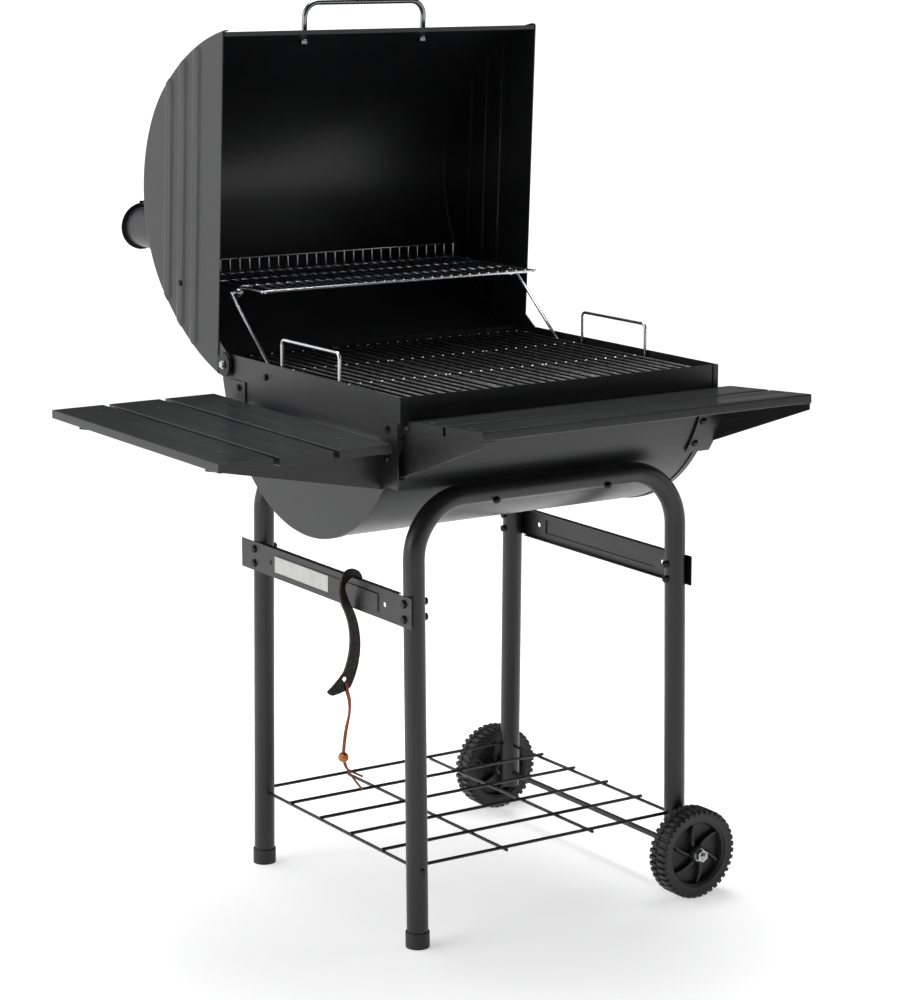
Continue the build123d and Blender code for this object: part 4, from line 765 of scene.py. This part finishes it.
def strandPoints(side):
    # One strand's route in millimetres from the tool's hole: down its own face of the tool, through the bead,
    # then out to its tail. The rear strand bows out 3 mm more before the bead.
    bow = 3 if side > 0 else 0
    route = [(0, 5.2, -3), (3 + bow, 6.5, -17), (8 + bow, 5, -33), (8 + bow, 2.6, -53),
             (3, 1.9, -76), (-1, 1.75, -102), (-2, 1.75, -120), (3, 1.9, -138)]
    tail = [(13, 3, -153), (27, 6, -172)] if side < 0 else [(18, 4, -147), (36, 8, -157)]
    hole = np.array(lanyard["hole"])
    return [at(*(hole + np.array([x, side * y, z]) / 1000)) for x, y, z in route + tail]


def makeStrand(name, side, node):
    curve = bpy.data.curves.new(name, "CURVE")
    curve.dimensions = "3D"
    spline = curve.splines.new("NURBS")
    points = strandPoints(side)
    spline.points.add(len(points) - 1)
    for point, place in zip(spline.points, points):
        point.co = (*place, 1.0)
    spline.order_u = 3
    spline.use_endpoint_u = True
    spline.resolution_u = 14
    curve.bevel_depth = lanyard["diameter"] / 2
    curve.bevel_resolution = 5
    curve.use_fill_caps = True
    curve.materials.append(finishes["cordLeather"])
    strand = bpy.data.objects.new(name, curve)
    bpy.context.scene.collection.objects.link(strand)
    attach(strand, "tool")
    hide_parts(node)
    return strand, points


def makeBead():
    # A turned ball with its bore: radius times (sin a, cos a) from one rim of the bore to the other.
    low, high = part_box("lanyard_bead")
    centre = (np.array(low) + np.array(high)) / 2
    start = math.asin(lanyard["bore"] / lanyard["bead"]) + 0.05
    slope = np.linspace(start, math.pi - start, 40)
    r = np.concatenate([[lanyard["bore"]], lanyard["bead"] * np.sin(slope), [lanyard["bore"]]])
    z = np.concatenate([[lanyard["bead"] * math.cos(start) - 0.0003], lanyard["bead"] * np.cos(slope),
                        [-lanyard["bead"] * math.cos(start) + 0.0003]])
    turn = 2 * np.pi * np.arange(64) / 64
    points = np.stack([centre[0] + r[:, None] * np.cos(turn), centre[1] + r[:, None] * np.sin(turn),
                       centre[2] + z[:, None] + 0 * turn], -1)
    return addPiece("lanyardBead", points, gridFaces(len(r), 64, True, True), "turnedBeech", "tool",
                    ("lanyard_bead",), 50)


bead = makeBead()
strandFront, frontPoints = makeStrand("lanyardFront", -1, "lanyard_front")
strandRear, rearPoints = makeStrand("lanyardRear", 1, "lanyard_rear")


def routeLength(curveObject):
    # measured on the curve's own line, without its thickness
    copy = curveObject.data.copy()
    copy.bevel_depth = 0
    probe = bpy.data.objects.new("probe", copy)
    bpy.context.scene.collection.objects.link(probe)
    mesh = bpy.data.meshes.new_from_object(probe)
    line = np.array([vertex.co for vertex in mesh.vertices])
    bpy.data.objects.remove(probe)
    return float(np.linalg.norm(np.diff(line, axis=0), axis=1).sum())


for strand, points, extra in ((strandFront, frontPoints, [bead]), (strandRear, rearPoints, [])):
    round(routeLength(strand), 4)
print("lanyard hung")


# floor and light
studio = {"floorHalf": 60.0, "floorGlow": 0.5, "brightWall": (-0.75, 0.65, 0.1), "wallFrom": 0.3,
          "wallTo": 0.95, "dim": 0.06, "bright": 1.35,
          "lamps": [("leftLamp", (-3.4, 0.2, 1.9), 2.4, 36), ("topLamp", (0.4, 0.6, 3.8), 2.4, 120),
                    ("rightLamp", (3.0, -1.4, 1.6), 2.0, 12)]}


def makeStudio():
    low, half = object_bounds()[0], studio["floorHalf"]
    corners = [(x * half, y * half, low[2]) for x, y in ((-1, -1), (1, -1), (1, 1), (-1, 1))]
    mesh = bpy.data.meshes.new("floor")
    mesh.from_pydata(corners, [], [(0, 1, 2, 3)])
    floor = bpy.data.objects.new("floor", mesh)
    bpy.context.scene.collection.objects.link(floor)
    material, tree, surface, place = newMaterial("paleFloor", {"Roughness": 0.7, "IOR": 1.45})
    surface.inputs["Base Color"].default_value = linear("#f4f4f4")
    surface.inputs["Emission Color"].default_value = linear("#ffffff")
    far = addNode(tree, "VectorMath", {"operation": "LENGTH"}, {0: place}).outputs["Value"]
    glow = addNode(tree, "MapRange", {"interpolation_type": "SMOOTHSTEP", "From Min": 1.0, "From Max": 9.0,
                                      "To Min": studio["floorGlow"], "To Max": 1.0}, {"Value": far})
    tree.links.new(glow.outputs[0], surface.inputs["Emission Strength"])
    mesh.materials.append(material)
    world = bpy.data.worlds.new("studio")
    world.use_nodes = True
    tree = world.node_tree
    background = tree.nodes["Background"]
    background.inputs[0].default_value = linear("#fdfdfe")
    # one broad bright wall behind and to the left, near darkness elsewhere; the camera sees plain white
    direction = addNode(tree, "TexCoord").outputs["Generated"]
    product = {"operation": "DOT_PRODUCT", 1: studio["brightWall"]}
    toward = addNode(tree, "VectorMath", product, {0: direction})
    wall = addNode(tree, "MapRange", {"interpolation_type": "SMOOTHSTEP", "From Min": studio["wallFrom"],
                                      "From Max": studio["wallTo"], "To Min": studio["dim"],
                                      "To Max": studio["bright"]}, {"Value": toward.outputs["Value"]})
    seen = addNode(tree, "LightPath").outputs["Is Camera Ray"]
    strength = addNode(tree, "Mix", {"B": 1.0}, {"Factor": seen, "A": wall.outputs[0]})
    tree.links.new(strength.outputs[0], background.inputs[1])
    bpy.context.scene.world = world
    bpy.context.scene.view_settings.view_transform = "Standard"
    for name, place, width, power in studio["lamps"]:
        light = bpy.data.lights.new(name, "AREA")
        light.size = width
        light.energy = power
        lamp = bpy.data.objects.new(name, light)
        lamp.location = place
        lamp.rotation_euler = (Vector((0, 0, 0.7)) - Vector(place)).to_track_quat("-Z", "Y").to_euler()
        bpy.context.scene.collection.objects.link(lamp)


makeStudio()
print("studio lit")
